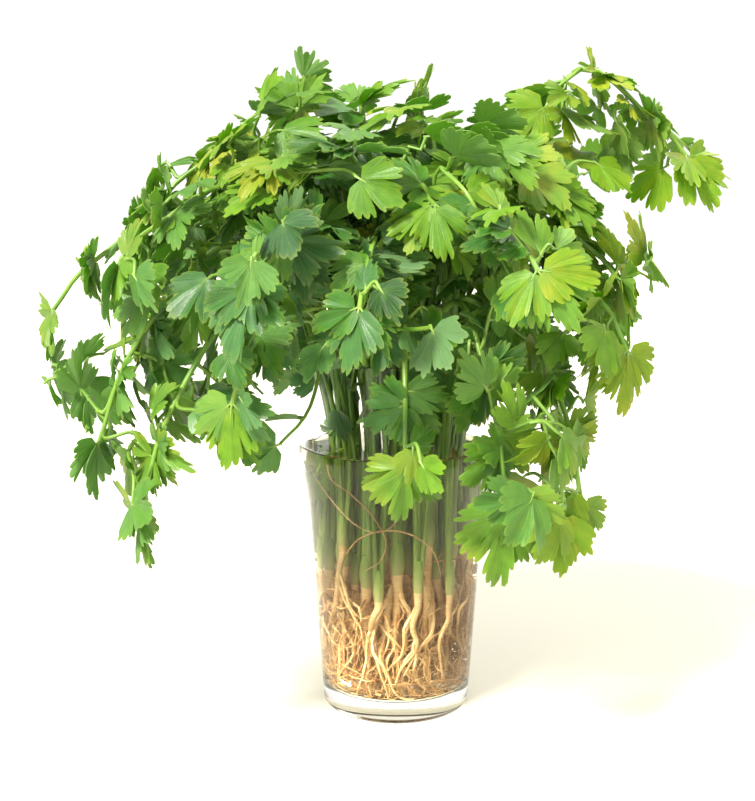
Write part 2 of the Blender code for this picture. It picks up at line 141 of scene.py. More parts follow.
class Side(Enum):
    """A side of a stalk that a leaflet grows on."""

    LEFT = -1
    RIGHT = 1


def smooth_line(knots: Sequence[Vector], steps: int) -> list[Vector]:
    """Finds points along a Catmull-Rom curve.

    Args:
        knots: The points that the curve runs through.
        steps: How many points lie between two knots.

    Returns:
        The points, from the first knot to the last.
    """
    ends = [2 * knots[0] - knots[1], *knots, 2 * knots[-1] - knots[-2]]
    points = []
    for a, b, c, d in zip(ends, ends[1:], ends[2:], ends[3:]):
        for k in range(steps):
            t = k / steps
            bend = (2 * a - 5 * b + 4 * c - d) * t * t + (3 * b - a - 3 * c + d) * t ** 3
            points.append(0.5 * (2 * b + (c - a) * t + bend))
    return [*points, knots[-1].copy()]


def spaced(points: Sequence[Vector], count: int) -> list[Vector]:
    """Spreads points evenly along a line.

    Args:
        points: The line.
        count: How many points to return.

    Returns:
        Points at even distances, with both ends among them.
    """
    lengths = [(b - a).length for a, b in zip(points, points[1:])]
    step = sum(lengths) / (count - 1)
    result = [points[0].copy()]
    index, passed = 0, 0.0
    for k in range(1, count - 1):
        goal = k * step
        while passed + lengths[index] < goal:
            passed += lengths[index]
            index += 1
        result.append(points[index].lerp(points[index + 1], (goal - passed) / lengths[index]))
    return [*result, points[-1].copy()]


class Value:
    """A number inside a shader, which takes part in Python expressions by adding Math nodes."""

    def __init__(self, shader: "Shader", socket: bpy.types.NodeSocket) -> None:
        self.shader = shader
        self.socket = socket

    def math(self, operation: str, *others: "Value | float") -> "Value":
        """Adds one Math node.

        Args:
            operation: The node's operation.
            others: The operands after this one.

        Returns:
            The node's result.
        """
        inputs = dict(enumerate((self, *others)))
        node = self.shader.node("ShaderNodeMath", {"operation": operation}, inputs)
        return Value(self.shader, node.outputs[0])

    def __add__(self, other: "Value | float") -> "Value":
        """Sum."""
        return self.math("ADD", other)

    __radd__ = __add__

    def __mul__(self, other: "Value | float") -> "Value":
        """Product."""
        return self.math("MULTIPLY", other)

    __rmul__ = __mul__

    def __sub__(self, other: "Value | float") -> "Value":
        """Difference."""
        return self.math("SUBTRACT", other)

    def __rsub__(self, other: float) -> "Value":
        """Difference from a number."""
        return self.math("MULTIPLY_ADD", -1.0, other)

    def __abs__(self) -> "Value":
        """Size without its sign."""
        return self.math("ABSOLUTE")

    def step(self, low: float, high: float) -> "Value":
        """Goes smoothly from 0 at a low value to 1 at a high one.

        Args:
            low: Where the result is 0.
            high: Where the result is 1.

        Returns:
            The smooth step.
        """
        node = self.shader.node("ShaderNodeMapRange", {"interpolation_type": "SMOOTHSTEP"},
                                {"Value": self, "From Min": low, "From Max": high})
        return Value(self.shader, node.outputs["Result"])


class Shader:
    """A material's nodes, added one by one."""

    def __init__(self, name: str) -> None:
        self.material = bpy.data.materials.new(name)
        self.material.use_nodes = True
        self.tree = self.material.node_tree
        self.tree.nodes.clear()

    def node(self, kind: str, settings: dict[str, object] | None = None,
             inputs: dict[str | int, object] | None = None) -> bpy.types.Node:
        """Adds a node.

        Args:
            kind: The node's type.
            settings: Its properties, set before its sockets. A ramp's stops are positions and colours.
            inputs: Values or links by socket name or number.

        Returns:
            The node.
        """
        node = self.tree.nodes.new(kind)
        for name, value in (settings or {}).items():
            if name == "stops":
                self._set_stops(node.color_ramp, value)
            else:
                setattr(node, name, value)
        for key, value in (inputs or {}).items():
            self._feed(node.inputs[key], value)
        return node

    @staticmethod
    def _set_stops(ramp: bpy.types.ColorRamp, stops: Sequence[tuple[float, Colour]]) -> None:
        """Gives a ramp its stops."""
        while len(ramp.elements) < len(stops):
            ramp.elements.new(1.0)
        for element, (position, colour) in zip(ramp.elements, stops):
            element.position = position
            element.color = (*colour, 1.0)

    def _feed(self, socket: bpy.types.NodeSocket, value: object) -> None:
        """Links a socket to a result, or sets its value."""
        if isinstance(value, Value):
            self.tree.links.new(value.socket, socket)
        elif isinstance(value, bpy.types.NodeSocket):
            self.tree.links.new(value, socket)
        elif socket.type == "RGBA":
            socket.default_value = (*value, 1.0)
        else:
            socket.default_value = value

    def attribute(self, name: str) -> Value:
        """Reads a number kept in the mesh."""
        node = self.node("ShaderNodeAttribute", {"attribute_name": name})
        return Value(self, node.outputs["Fac"])

    def vector(self, name: str) -> bpy.types.NodeSocket:
        """Reads a vector kept in the mesh."""
        return self.node("ShaderNodeAttribute", {"attribute_name": name}).outputs["Vector"]

    def place(self) -> bpy.types.NodeSocket:
        """Reads the place on the object, in metres."""
        return self.node("ShaderNodeTexCoord").outputs["Object"]

    def noise(self, scale: float, detail: float = 3.0, vector: bpy.types.NodeSocket | None = None) -> Value:
        """Adds a cloudy pattern.

        Args:
            scale: Clouds to the metre.
            detail: How many finer layers it has.
            vector: Where the pattern is read, instead of the place on the object.

        Returns:
            The pattern, about 0.5 on average.
        """
        node = self.node("ShaderNodeTexNoise", {}, {"Vector": vector or self.place(), "Scale": scale,
                                                    "Detail": detail})
        return Value(self, node.outputs["Fac"])

    def mix(self, factor: Value | float, first: object, second: object) -> bpy.types.NodeSocket:
        """Mixes two colours.

        Args:
            factor: How much of the second colour shows.
            first: The colour at 0.
            second: The colour at 1.

        Returns:
            The mixed colour.
        """
        node = self.node("ShaderNodeMix", {"data_type": "RGBA"}, {"Factor": factor, 6: first, 7: second})
        return node.outputs[2]

    def ramp(self, factor: Value, stops: Sequence[tuple[float, Colour]]) -> bpy.types.NodeSocket:
        """Turns a number into a colour by way of stops."""
        return self.node("ShaderNodeValToRGB", {"stops": stops}, {"Fac": factor}).outputs["Color"]

    def bump(self, height: Value, strength: float, distance: float) -> bpy.types.NodeSocket:
        """Turns a height into a normal."""
        return self.node("ShaderNodeBump", {}, {"Height": height, "Strength": strength,
                                                "Distance": distance}).outputs["Normal"]

    def finish(self, surface: bpy.types.NodeSocket) -> bpy.types.Material:
        """Gives the material its surface."""
        output = self.node("ShaderNodeOutputMaterial")
        self.tree.links.new(surface, output.inputs["Surface"])
        return self.material

    def lit_through(self, solid: bpy.types.NodeSocket, tint: Colour) -> bpy.types.NodeSocket:
        """Lets lamps shine through a clear surface.

        Args:
            solid: The clear shader.
            tint: The colour that the light takes on.

        Returns:
            The shader, which casts a faint shadow only.
        """
        ray = self.node("ShaderNodeLightPath").outputs["Is Shadow Ray"]
        clear = self.node("ShaderNodeBsdfTransparent", {}, {"Color": tint}).outputs[0]
        return self.node("ShaderNodeMixShader", {}, {0: ray, 1: solid, 2: clear}).outputs[0]


@dataclass(frozen=True)
class ClearGlass:
    """Clear soda glass with a breath of green."""

    tint: Colour = (0.975, 0.992, 0.985)
    shadow: Colour = (0.95, 0.97, 0.96)
    refraction: float = 1.5
    gloss: float = 0.25

    def build(self) -> bpy.types.Material:
        """Makes the material."""
        shader = Shader("clear_glass")
        solid = shader.node("ShaderNodeBsdfPrincipled", {}, {
            "Base Color": self.tint, "Roughness": 0.0, "IOR": self.refraction, "Transmission Weight": 1.0,
            "Specular Tint": (self.gloss, self.gloss, self.gloss)})
        return shader.finish(shader.lit_through(solid.outputs[0], self.shadow))


@dataclass(frozen=True)
class StandingWater:
    """Water that the roots have tinged."""

    tint: Colour = (0.96, 0.90, 0.76)
    shadow: Colour = (0.97, 0.93, 0.84)
    refraction: float = 1.333
    gloss: float = 0.02

    def build(self) -> bpy.types.Material:
        """Makes the material."""
        shader = Shader("water")
        ripple = shader.noise(60.0, 2.0)
        solid = shader.node("ShaderNodeBsdfPrincipled", {}, {
            "Base Color": self.tint, "Roughness": 0.0, "IOR": self.refraction, "Transmission Weight": 1.0,
            "Specular Tint": (self.gloss, self.gloss, self.gloss),
            "Normal": shader.bump(ripple, 0.05, 0.001)})
        return shader.finish(shader.lit_through(solid.outputs[0], self.shadow))


@dataclass(frozen=True)
class LeafBlade:
    """A leaflet's blade: fresh green, paler below, with veins that fan out to its teeth, and darker or
    lighter by a tone that is partly painted light and shade.
    """

    # The stops run from a painted shaded dark green to a painted sunlit yellow-green.
    stops: tuple[tuple[float, Colour], ...] = (
        (0.0, (0.009, 0.055, 0.006)), (0.3, (0.045, 0.180, 0.008)), (0.65, (0.215, 0.425, 0.014)),
        (1.0, (0.520, 0.540, 0.030)))
    # The colour of a painted sheen: a greyish-blue green that stands in for light glancing off the leaflets.
    painted_sheen: Colour = (0.105, 0.280, 0.120)
    underside: Colour = (0.200, 0.360, 0.140)
    vein: Colour = (0.360, 0.520, 0.160)
    glow: Colour = (0.260, 0.520, 0.035)
    see_through: float = 0.22
    glow_gain: float = 0.4

    def build(self) -> bpy.types.Material:
        """Makes the material."""
        shader = Shader("leaf_blade")
        split = shader.node("ShaderNodeSeparateXYZ", {}, {
            0: shader.node("ShaderNodeUVMap", {"uv_map": BLADE_MAP}).outputs[0]})
        tooth, reach = Value(shader, split.outputs[0]) * float(TEETH), Value(shader, split.outputs[1])
        aside = abs((tooth + 0.5).math("FRACT") - 0.5) * 2.0
        veins = 1.0 - (aside * reach).step(0.02, 0.11)
        ribs = abs((reach * 9.0 - aside * 2.4).math("FRACT") - 0.5).step(0.38, 0.5)
        mottle = shader.noise(260.0)
        # The tone is partly the leaflet's own and partly painted light: lighter at the top and outside of the
        # bunch, darker within it.
        tone = shader.attribute(LIGHT_AND_TONE)
        yellowed = shader.noise(38.0, 2.0).step(0.5, 0.66) * tone.step(0.42, 0.7)
        tone = tone + (mottle - 0.5) * 0.35 + yellowed * 0.32
        upper = shader.ramp(tone, self.stops)
        upper = shader.mix(reach.step(0.86, 1.0) * 0.18, upper, self.stops[-1][1])
        # Painted sheen: a greyish-blue tint on the leaflets at the left and low down.
        upper = shader.mix(shader.attribute(PALE_AND_SHEEN) * 0.6, upper, self.painted_sheen)
        below = shader.mix(0.5, upper, self.underside)
        colour = shader.mix(shader.attribute(UNDER), upper, below)
        colour = shader.mix(veins * 0.24 + ribs * 0.07, colour, self.vein)
        height = mottle * 0.5 - veins * 0.8 - ribs * 0.25
        normal = shader.bump(height, 0.5, 0.0006)
        face = shader.node("ShaderNodeBsdfPrincipled", {}, {
            "Base Color": colour, "Roughness": 0.36 + shader.noise(90.0) * 0.22, "Specular IOR Level": 0.5,
            "Coat Weight": shader.attribute(PALE_AND_SHEEN) * 0.4, "Coat Roughness": 0.25, "Normal": normal})
        through = shader.node("ShaderNodeBsdfTranslucent", {}, {"Color": self.glow, "Normal": normal})
        thin = shader.attribute(LIGHT_AND_TONE) * self.glow_gain + self.see_through
        mixed = shader.node("ShaderNodeMixShader", {}, {0: thin, 1: face.outputs[0], 2: through.outputs[0]})
        return shader.finish(mixed.outputs[0])


@dataclass(frozen=True)
class StalkSkin:
    """A leaf stalk: yellow-green, finely streaked along its ribs, paler at the crown."""

    deep: Colour = (0.075, 0.210, 0.018)
    light: Colour = (0.230, 0.400, 0.045)
    crown: Colour = (0.460, 0.450, 0.190)

    def build(self) -> bpy.types.Material:
        """Makes the material."""
        shader = Shader("stalk_skin")
        stretched = shader.node("ShaderNodeMapping", {}, {"Vector": shader.vector(SKIN),
                                                          "Scale": (2.6, 2.6, 0.08)}).outputs[0]
        streak = shader.noise(1.0, 2.0, stretched)
        patch = shader.noise(55.0)
        colour = shader.mix((streak * 0.6 + patch * 0.9 - 0.25).step(0.2, 0.8), self.deep, self.light)
        colour = shader.mix(shader.attribute(PALE_AND_SHEEN), colour, self.crown)
        skin = shader.node("ShaderNodeBsdfPrincipled", {}, {
            "Base Color": colour, "Roughness": 0.34 + streak * 0.15, "Coat Weight": 0.1,
            "Coat Roughness": 0.3, "Normal": shader.bump(streak, 0.4, 0.0004)})
        return shader.finish(skin.outputs[0])


@dataclass(frozen=True)
class RootBark:
    """A root's skin: tan, crossed by fine wrinkles and darker patches."""

    dark: Colour = (0.230, 0.100, 0.030)
    tan: Colour = (0.510, 0.280, 0.105)
    pale: Colour = (0.820, 0.600, 0.320)

    def build(self) -> bpy.types.Material:
        """Makes the material."""
        shader = Shader("root_bark")
        patch = shader.noise(120.0, 4.0)
        flattened = shader.node("ShaderNodeMapping", {}, {"Vector": shader.place(),
                                                          "Scale": (0.3, 0.3, 3.0)}).outputs[0]
        wrinkle = shader.noise(420.0, 2.0, flattened)
        tone = patch * 0.8 + wrinkle * 0.5 - 0.15 + shader.attribute(PALE_AND_SHEEN) * 0.5
        colour = shader.ramp(tone, ((0.25, self.dark), (0.55, self.tan), (1.0, self.pale)))
        skin = shader.node("ShaderNodeBsdfPrincipled", {}, {
            "Base Color": colour, "Roughness": 0.55, "Normal": shader.bump(wrinkle, 0.5, 0.0006)})
        return shader.finish(skin.outputs[0])


@dataclass(frozen=True)
class PaleTop:
    """A plain pale floor with a soft sheen."""

    colour: Colour = (0.74, 0.71, 0.61)
    cloud: Colour = (0.78, 0.75, 0.64)

    def build(self) -> bpy.types.Material:
        """Makes the material."""
        shader = Shader("pale_top")
        tint = shader.mix(shader.noise(3.0) * 0.25, self.colour, self.cloud)
        top = shader.node("ShaderNodeBsdfPrincipled", {}, {"Base Color": tint, "Roughness": 0.45})
        return shader.finish(top.outputs[0])


def settle(name: str, mesh: bmesh.types.BMesh, materials: Sequence[bpy.types.Material],
           replaced: str, sharp: float = 40.0) -> bpy.types.Object:
    """Turns a mesh in millimetres into a finished piece.

    Args:
        name: The piece's name.
        mesh: Its mesh, which is freed.
        materials: Its materials, in the order that its faces count them.
        replaced: The solid that it stands for, or nothing if it is added.
        sharp: The angle in degrees from which an edge is shaded sharp.

    Returns:
        The piece.
    """
    bmesh.ops.scale(mesh, vec=(MM, MM, MM), verts=mesh.verts[:])
    data = bpy.data.meshes.new(name)
    mesh.to_mesh(data)
    mesh.free()
    for material in materials:
        data.materials.append(material)
    data.shade_smooth()
    data.set_sharp_from_angle(angle=math.radians(sharp))
    piece = bpy.data.objects.new(name, data)
    bpy.context.scene.collection.objects.link(piece)
    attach(piece, "root")
    if replaced:
        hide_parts(replaced)
    LOG.info("%s: %d triangles", name, sum(len(face.vertices) - 2 for face in data.polygons))
    return piece


def turned(profile: Sequence[tuple[float, float]], segments: int) -> bmesh.types.BMesh:
    """Turns a section about the Z axis.

    Args:
        profile: Radius and height of its points, with both ends on the axis.
        segments: How many steps a full turn has.

    Returns:
        The closed mesh.
    """
    mesh = bmesh.new()
    verts = [mesh.verts.new((radius, 0, height)) for radius, height in profile]
    edges = [mesh.edges.new(pair) for pair in zip(verts, verts[1:])]
    bmesh.ops.spin(mesh, geom=verts + edges, axis=(0, 0, 1), cent=(0, 0, 0), angle=2 * math.pi,
                   steps=segments, use_merge=True)
    bmesh.ops.remove_doubles(mesh, verts=mesh.verts[:], dist=0.001)
    bmesh.ops.recalc_face_normals(mesh, faces=mesh.faces[:])
    return mesh


@dataclass
class Tumbler:
    """The straight pint tumbler, with a bulge below its rim and a thick clear foot."""

    side: tuple[tuple[float, float], ...] = (
        (31.3, 2.2), (33.0, 25), (34.6, 50), (36.1, 72), (37.6, 90), (39.9, 103), (41.35, 109.5),
        (41.4, 112.5), (40.6, 116), (39.5, 120), (39.05, 127), (39.2, 138), (39.75, 148.8))
    wall: float = 2.2
    floor: float = 9.5
    corner: float = 4.0
    rim: float = 150.0
    heel: float = 2.2
    punt: float = 0.8
    segments: int = 128
    arc_steps: int = 6

    def outer(self) -> list[Vector]:
        """Gives the outer side as a smooth line, upwards."""
        return smooth_line([Vector((radius, height, 0)) for radius, height in self.side], 4)

    def inner_radius(self, height: float) -> float:
        """Gives the inside's radius at a height."""
        line = self.outer()
        for low, high in zip(line, line[1:]):
            if low.y <= height <= high.y:
                return low.lerp(high, (height - low.y) / (high.y - low.y)).x - self.wall
        return (line[0] if height < line[0].y else line[-1]).x - self.wall

    def arc(self, centre: tuple[float, float], radius: float, start: float,
            end: float) -> list[tuple[float, float]]:
        """Gives points on a rounding.

        Args:
            centre: The rounding's centre, as radius and height.
            radius: How large it is.
            start: The angle that it starts at, in degrees from outwards to up.
            end: The angle that it ends at.

        Returns:
            The points, as radius and height.
        """
        turns = [start + (end - start) * k / self.arc_steps for k in range(self.arc_steps + 1)]
        angles = [math.radians(turn) for turn in turns]
        return [(centre[0] + radius * math.cos(a), centre[1] + radius * math.sin(a)) for a in angles]

    def profile(self) -> list[tuple[float, float]]:
        """Gives the whole section, from the middle of the underside to the middle of the inner floor."""
        outer = [(point.x, point.y) for point in self.outer()]
        foot = outer[0][0] - self.heel
        under = [(0, self.punt), (foot - 6.5, self.punt), (foot - 4.5, self.punt * 0.4), (foot - 3.2, 0)]
        lip_radius = self.wall / 2
        lip = self.arc((outer[-1][0] - lip_radius, self.rim - lip_radius), lip_radius, 0, 180)
        low, high = self.floor + self.corner, self.rim - 2
        inner = [(radius - self.wall, height) for radius, height in outer if low + 0.5 < height < high]
        bend = self.arc((self.inner_radius(low) - self.corner, low), self.corner, 0, -90)
        heel = self.arc((foot, self.heel), self.heel, -90, 0)
        return [*under, *heel, *outer[1:], *lip[1:], *reversed(inner), *bend, (12, self.floor + 0.25),
                (0, self.floor + 0.4)]

    def build(self, material: bpy.types.Material) -> None:
        """Makes the piece."""
        settle("tumbler", turned(self.profile(), self.segments), [material], "glass")


@dataclass
class Water:
    """The water in the tumbler, which wets its wall and climbs it a little at the surface."""

    tumbler: Tumbler
    level: float = 112.0
    climb: float = 1.3
    wet: float = 0.25
    segments: int = 128
    ripple: float = 0.12

    def profile(self) -> list[tuple[float, float]]:
        """Gives the section, from the middle of the floor round to the middle of the surface."""
        glass = self.tumbler
        low = glass.floor + glass.corner
        bend = glass.arc((glass.inner_radius(low) - glass.corner, low), glass.corner + self.wet, -90, 0)
        heights = [low + 2 + (self.level - low - 2) * k / 24 for k in range(25)]
        side = [(glass.inner_radius(height) + self.wet, height) for height in heights]
        edge = glass.inner_radius(self.level + self.climb)
        top = [(edge + self.wet, self.level + self.climb), (edge - 0.3, self.level + self.climb * 0.62),
               (edge - 1.2, self.level + self.climb * 0.2), (edge - 3, self.level)]
        rings = [((edge - 3) * (1 - k / 8), self.level) for k in range(1, 9)]
        return [(0, glass.floor + 0.1), (12, glass.floor + 0.05), *bend, *side, *top, *rings]

    def build(self, material: bpy.types.Material) -> None:
        """Makes the piece."""
        mesh = turned(self.profile(), self.segments)
        for vert in mesh.verts:
            if vert.co.z >= self.level - 0.01:
                vert.co.z += self.ripple * noise.noise(vert.co * 0.12)
        settle("water_body", mesh, [material], "water")


@dataclass
class Leaflet:
    """One leaflet: where its blade starts, how it lies, and how it curves."""

    base: Vector
    along: Vector
    facing: Vector
    length: float
    droop: float
    fold: float
    teeth: tuple[tuple[float, float], ...]

    def point(self, bearing: float, share: float, lift: float) -> Vector:
        """Finds a point on the plain blade of the solids.

        Args:
            bearing: Its direction from the midrib, in radians.
            share: Its distance from the base, as a share of the length.
            lift: How far it stands off the blade's middle.

        Returns:
            The point.
        """
        reach = self.length * share
        across = reach * math.sin(bearing)
        rise = self.fold * abs(across) - self.droop * reach * share + lift
        side = self.along.cross(self.facing)
        return self.base + self.along * (reach * math.cos(bearing)) + side * across + self.facing * rise

    def tip(self) -> Vector:
        """Finds the tip of the middle lobe."""
        return self.point(0, 1, 0)


@dataclass
class Stalk:
    """One leaf stalk: closely spaced points along it, from the crown out, and its leaflets."""

    plant: str
    line: list[Vector]
    length: float
    pairs: int
    spacing: float
    bends: int
    stray: float
    leaflets: list[Leaflet] = field(default_factory=list)

    def at(self, distance: float) -> Vector:
        """Finds the point on the line at a distance back from its tip."""
        points = self.line[::-1]
        for a, b in zip(points, points[1:]):
            step = (b - a).length
            if distance <= step:
                return a.lerp(b, distance / step)
            distance -= step
        return points[-1].copy()

    def rings(self) -> list[Vector]:
        """Gives the points where the solids' stalk bends: evenly from the crown, then at each pair."""
        whole = sum((b - a).length for a, b in zip(self.line, self.line[1:]))
        last = self.spacing * self.pairs
        even = [whole + (last - whole) * k / self.bends for k in range(self.bends)]
        return [self.at(d) for d in even] + [self.at(self.spacing * k) for k in range(self.pairs, -1, -1)]

    def node(self, pair: int, stagger: float) -> tuple[Vector, Vector]:
        """Finds where a leaflet leaves the stalk.

        Args:
            pair: Its pair, counted back from the end leaflet, which is 0.
            stagger: How far forward along the stalk it stands from its pair's middle.

        Returns:
            The place, and the stalk's direction there.
        """
        rings = self.rings()[::-1]
        here = rings[pair]
        forward = (rings[pair - 1] - here).normalized() if pair else (here - rings[1]).normalized()
        back = (here - rings[pair + 1]).normalized()
        step = forward if stagger > 0 else back
        return here + step * stagger, (forward + back).normalized()


class Clearing:
    """What has been placed so far, which each new shape keeps clear of."""

    def __init__(self) -> None:
        self.shapes: list[tuple[BVHTree, Vector, float, Stalk | None]] = []

    def free(self, tree: BVHTree, centre: Vector, reach: float, joined: Sequence[Stalk]) -> bool:
        """Tells whether a shape crosses nothing that is near it.

        Args:
            tree: The shape.
            centre: The middle of the sphere round it.
            reach: The sphere's radius.
            joined: The stalks that it may cross, because it grows on them.

        Returns:
            True if it is clear.
        """
        for other, place, extent, stalk in self.shapes:
            near = (centre - place).length < reach + extent
            if near and not any(stalk is part for part in joined) and tree.overlap(other):
                return False
        return True

    def add(self, tree: BVHTree, centre: Vector, reach: float, stalk: Stalk | None = None) -> None:
        """Keeps a placed shape, with the sphere round it and the stalk that it is, if it is one."""
        self.shapes.append((tree, centre, reach, stalk))


@dataclass
class Growth:
    """How stalks and leaflets are laid out, with the values that the solids were laid out with."""

    seed: int = SEED
    inner_ring: float = 11.0
    outer_ring: float = 21.6
    water_level: float = 112
    rim_height: float = 150
    crown_range: tuple[float, float] = (52, 80)
    clearance: float = 0.35
    stalk_radius: float = 1.45
    stalk_tip_radius: float = 0.85
    stalk_sides: int = 4
    stalk_bends: int = 4
    stalk_spread: float = 1.75
    trio_spread: float = 2.0
    foot_spread: float = 0.8
    rim_spread: float = 2.8
    stalk_sink: float = 2
    rim_lean: float = 5.5
    rim_opening: float = 1.12
    rim_clearance: float = 6
    shoulder_share: float = 0.42
    bend_share: float = 0.84
    bend_drop: float = 0.52
    stalk_reach: float = 300
    stalk_apart: float = 3.1
    stalk_tries: int = 60
    sway_step: float = 0.6
    line_steps: int = 24
    end_teeth: tuple[tuple[float, float], ...] = ((17, 0.92), (25, 0.55), (36, 0.92), (45, 0.73), (54, 0.78))
    side_teeth: tuple[tuple[float, float], ...] = ((17, 0.92), (25, 0.55), (38, 0.94), (54, 0.76))
    blade_thickness: float = 0.8
    blade_sink: float = 0.4
    pair_spacing: float = 25
    pair_stagger: float = 2.5
    most_pairs: int = 3
    side_leaflet_share: float = 0.88
    length_range: tuple[float, float] = (0.9, 1.06)
    droop_range: tuple[float, float] = (0.05, 0.35)
    fold_range: tuple[float, float] = (-0.12, 0.3)
    pair_forward: float = 0.4
    pair_down: float = 0.25
    end_down: float = 0.3
    inward: float = 0.5
    stray: float = 0.35
    stray_step: float = 0.02
    aim_stray: float = 0.6
    leaflet_tries: int = 40
    shrink_step: float = 0.008
    floor_clearance: float = 3

    def __post_init__(self) -> None:
        """Places the plants in their rings."""
        self.rng = random.Random(self.seed)
        self.clearing = Clearing()
        self.places: dict[str, Vector] = {}
        self.crowns: dict[str, float] = {}
        self.stalks: list[Stalk] = []
        for name in FRONDS:
            if name == "centre":
                self.places[name] = Vector((0, 0, 0))
            else:
                ring, degrees = name.split("_")
                radius = self.inner_ring if ring == "inner" else self.outer_ring
                turn = Matrix.Rotation(math.radians(int(degrees)), 3, "Z")
                self.places[name] = turn @ Vector((radius, 0, 0))

    def stalk_line(self, place: Vector, crown: float, offset: Vector, spread: float, tip: Vector, peak: float,
                   sway: Vector) -> list[Vector]:
        """Draws a stalk from its crown up through the water, over the rim and out to its tip.

        Args:
            place: Where the plant stands.
            crown: How high its crown is.
            offset: Which way it stands off the plant's middle.
            spread: How far off it stands at the water's surface.
            tip: Where it ends.
            peak: The height that it arches to.
            sway: How far its arch is pushed aside.

        Returns:
            Closely spaced points.
        """
        foot = place + offset * self.foot_spread + UP * (crown + self.stalk_sink)
        surface = place + offset * spread
        surface.z = self.water_level
        outward = Vector((tip.x, tip.y, 0)).normalized()
        rim = place * self.rim_opening + offset * self.rim_spread + outward * self.rim_lean
        shoulder = rim.lerp(tip, self.shoulder_share) + sway
        bend = rim.lerp(tip, self.bend_share) + sway / 2
        rim.z = self.rim_height + self.rim_clearance
        shoulder.z = peak + sway.z
        bend.z = peak + (tip.z - peak) * self.bend_drop + sway.z / 2
        return smooth_line([foot, surface, rim, shoulder, bend, tip], self.line_steps)

    @staticmethod
    def offset(tips: Sequence[Vector], index: int) -> Vector:
        """Finds which way a stalk stands off its plant's middle, from where its tip is among the plant's."""
        flat = [tip.to_2d() for tip in tips]
        middle = sum(flat, Vector((0, 0))) / len(flat)
        angles = [math.atan2(*(tip - middle).yx) for tip in flat]
        order = sorted(range(len(flat)), key=angles.__getitem__)
        turn = angles[order[0]] + 2 * math.pi * order.index(index) / len(flat)
        return Vector((math.cos(turn), math.sin(turn), 0))

    def stalk_tree(self, stalk: Stalk) -> BVHTree:
        """Makes the search tree of a stalk's plain tube, thickened by half the clearance."""
        rings = stalk.rings()
        last = len(rings) - 1
        taper = self.stalk_tip_radius - self.stalk_radius
        radii = [self.stalk_radius + taper * k / last + self.clearance / 2 for k in range(last + 1)]
        outward = Vector((stalk.line[-1].x, stalk.line[-1].y, 0))
        reference = outward.cross(DOWN).normalized()
        mesh = bmesh.new()
        loops = []
        for i, (point, radius) in enumerate(zip(rings, radii)):
            run = (rings[min(i + 1, last)] - rings[max(i - 1, 0)]).normalized()
            across = (reference - run * reference.dot(run)).normalized()
            corner = Matrix.Rotation(math.pi / self.stalk_sides, 3, run) @ across
            turn = Matrix((corner, run.cross(corner), run)).transposed().to_4x4()
            loops.append(bmesh.ops.create_circle(mesh, segments=self.stalk_sides, radius=radius,
                                                 matrix=Matrix.Translation(point) @ turn)["verts"])
        for low, high in zip(loops, loops[1:]):
            for k in range(self.stalk_sides):
                after = (k + 1) % self.stalk_sides
                mesh.faces.new((low[k], low[after], high[after], high[k]))
        mesh.faces.new(loops[0][::-1])
        mesh.faces.new(loops[-1])
        bmesh.ops.recalc_face_normals(mesh, faces=mesh.faces[:])
        bmesh.ops.triangulate(mesh, faces=mesh.faces[:])
        tree = BVHTree.FromBMesh(mesh)
        mesh.free()
        return tree

    def blade_tree(self, leaflet: Leaflet) -> tuple[BVHTree, float]:
        """Makes the search tree of a leaflet's plain blade, thickened by the clearance.

        Args:
            leaflet: The leaflet.

        Returns:
            The tree, and the blade's lowest height.
        """
        half = [(math.radians(degrees), share) for degrees, share in leaflet.teeth]
        outline = [(-bearing, share) for bearing, share in reversed(half)] + [(0, 1)] + half
        thickness = self.blade_thickness + 2 * self.clearance
        mesh = bmesh.new()
        base = mesh.verts.new(leaflet.point(0, 0, -thickness / 2))
        rim = [mesh.verts.new(leaflet.point(bearing, share, -thickness / 2)) for bearing, share in outline]
        left = len(half) - 2
        right = left + 4
        lobes = (rim[:left + 1], rim[left:right + 1], rim[right:])
        for corners in ((base, rim[0], rim[-1]), (rim[0], rim[left], rim[right], rim[-1]), *lobes):
            mesh.faces.new(corners)
        bmesh.ops.triangulate(mesh, faces=mesh.faces[:], ngon_method="BEAUTY")
        grown = bmesh.ops.extrude_face_region(mesh, geom=mesh.faces[:])["geom"]
        upper = [piece for piece in grown if isinstance(piece, bmesh.types.BMVert)]
        bmesh.ops.translate(mesh, verts=upper, vec=leaflet.facing * thickness)
        bmesh.ops.recalc_face_normals(mesh, faces=mesh.faces[:])
        bmesh.ops.triangulate(mesh, faces=[face for face in mesh.faces if len(face.verts) > 3])
        low = min(vert.co.z for vert in mesh.verts)
        tree = BVHTree.FromBMesh(mesh)
        mesh.free()
        return tree, low

    def add_stalk(self, plant: str, offset: Vector, spread: float, frond: tuple, grown: list[Stalk],
                  rng: random.Random, tries: int) -> bool:
        """Adds a stalk, swayed until it crosses no other.

        Args:
            plant: The plant that it grows on.
            offset: Which way it stands off the plant's middle.
            spread: How far off it stands at the water's surface.
            frond: Its tip, peak, end leaflet's length and pairs.
            grown: The plant's stalks so far, which it joins.
            rng: The source of its sway.
            tries: How many sways it may try.

        Returns:
            True if the last one tried is clear.
        """
        tip, peak, length, pairs = frond
        middle = Vector((0, 0, self.rim_height))
        for attempt in range(tries):
            sway = Vector((rng.uniform(-1, 1), rng.uniform(-1, 1), rng.uniform(-0.5, 0.5)))
            sway *= attempt * self.sway_step
            line = self.stalk_line(self.places[plant], self.crowns[plant], offset, spread, Vector(tip), peak,
                                   sway)
            stalk = Stalk(plant, line, length, pairs, self.pair_spacing, self.stalk_bends, self.stray)
            tree = self.stalk_tree(stalk)
            start = self.line_steps
            apart = all((a - b).length > self.stalk_apart for other in grown
                        for a, b in zip(line[start:], other.line[start:]))
            clear = apart and self.clearing.free(tree, middle, 0, grown)
            if clear:
                break
        grown.append(stalk)
        self.clearing.add(tree, middle, self.stalk_reach, stalk)
        return clear

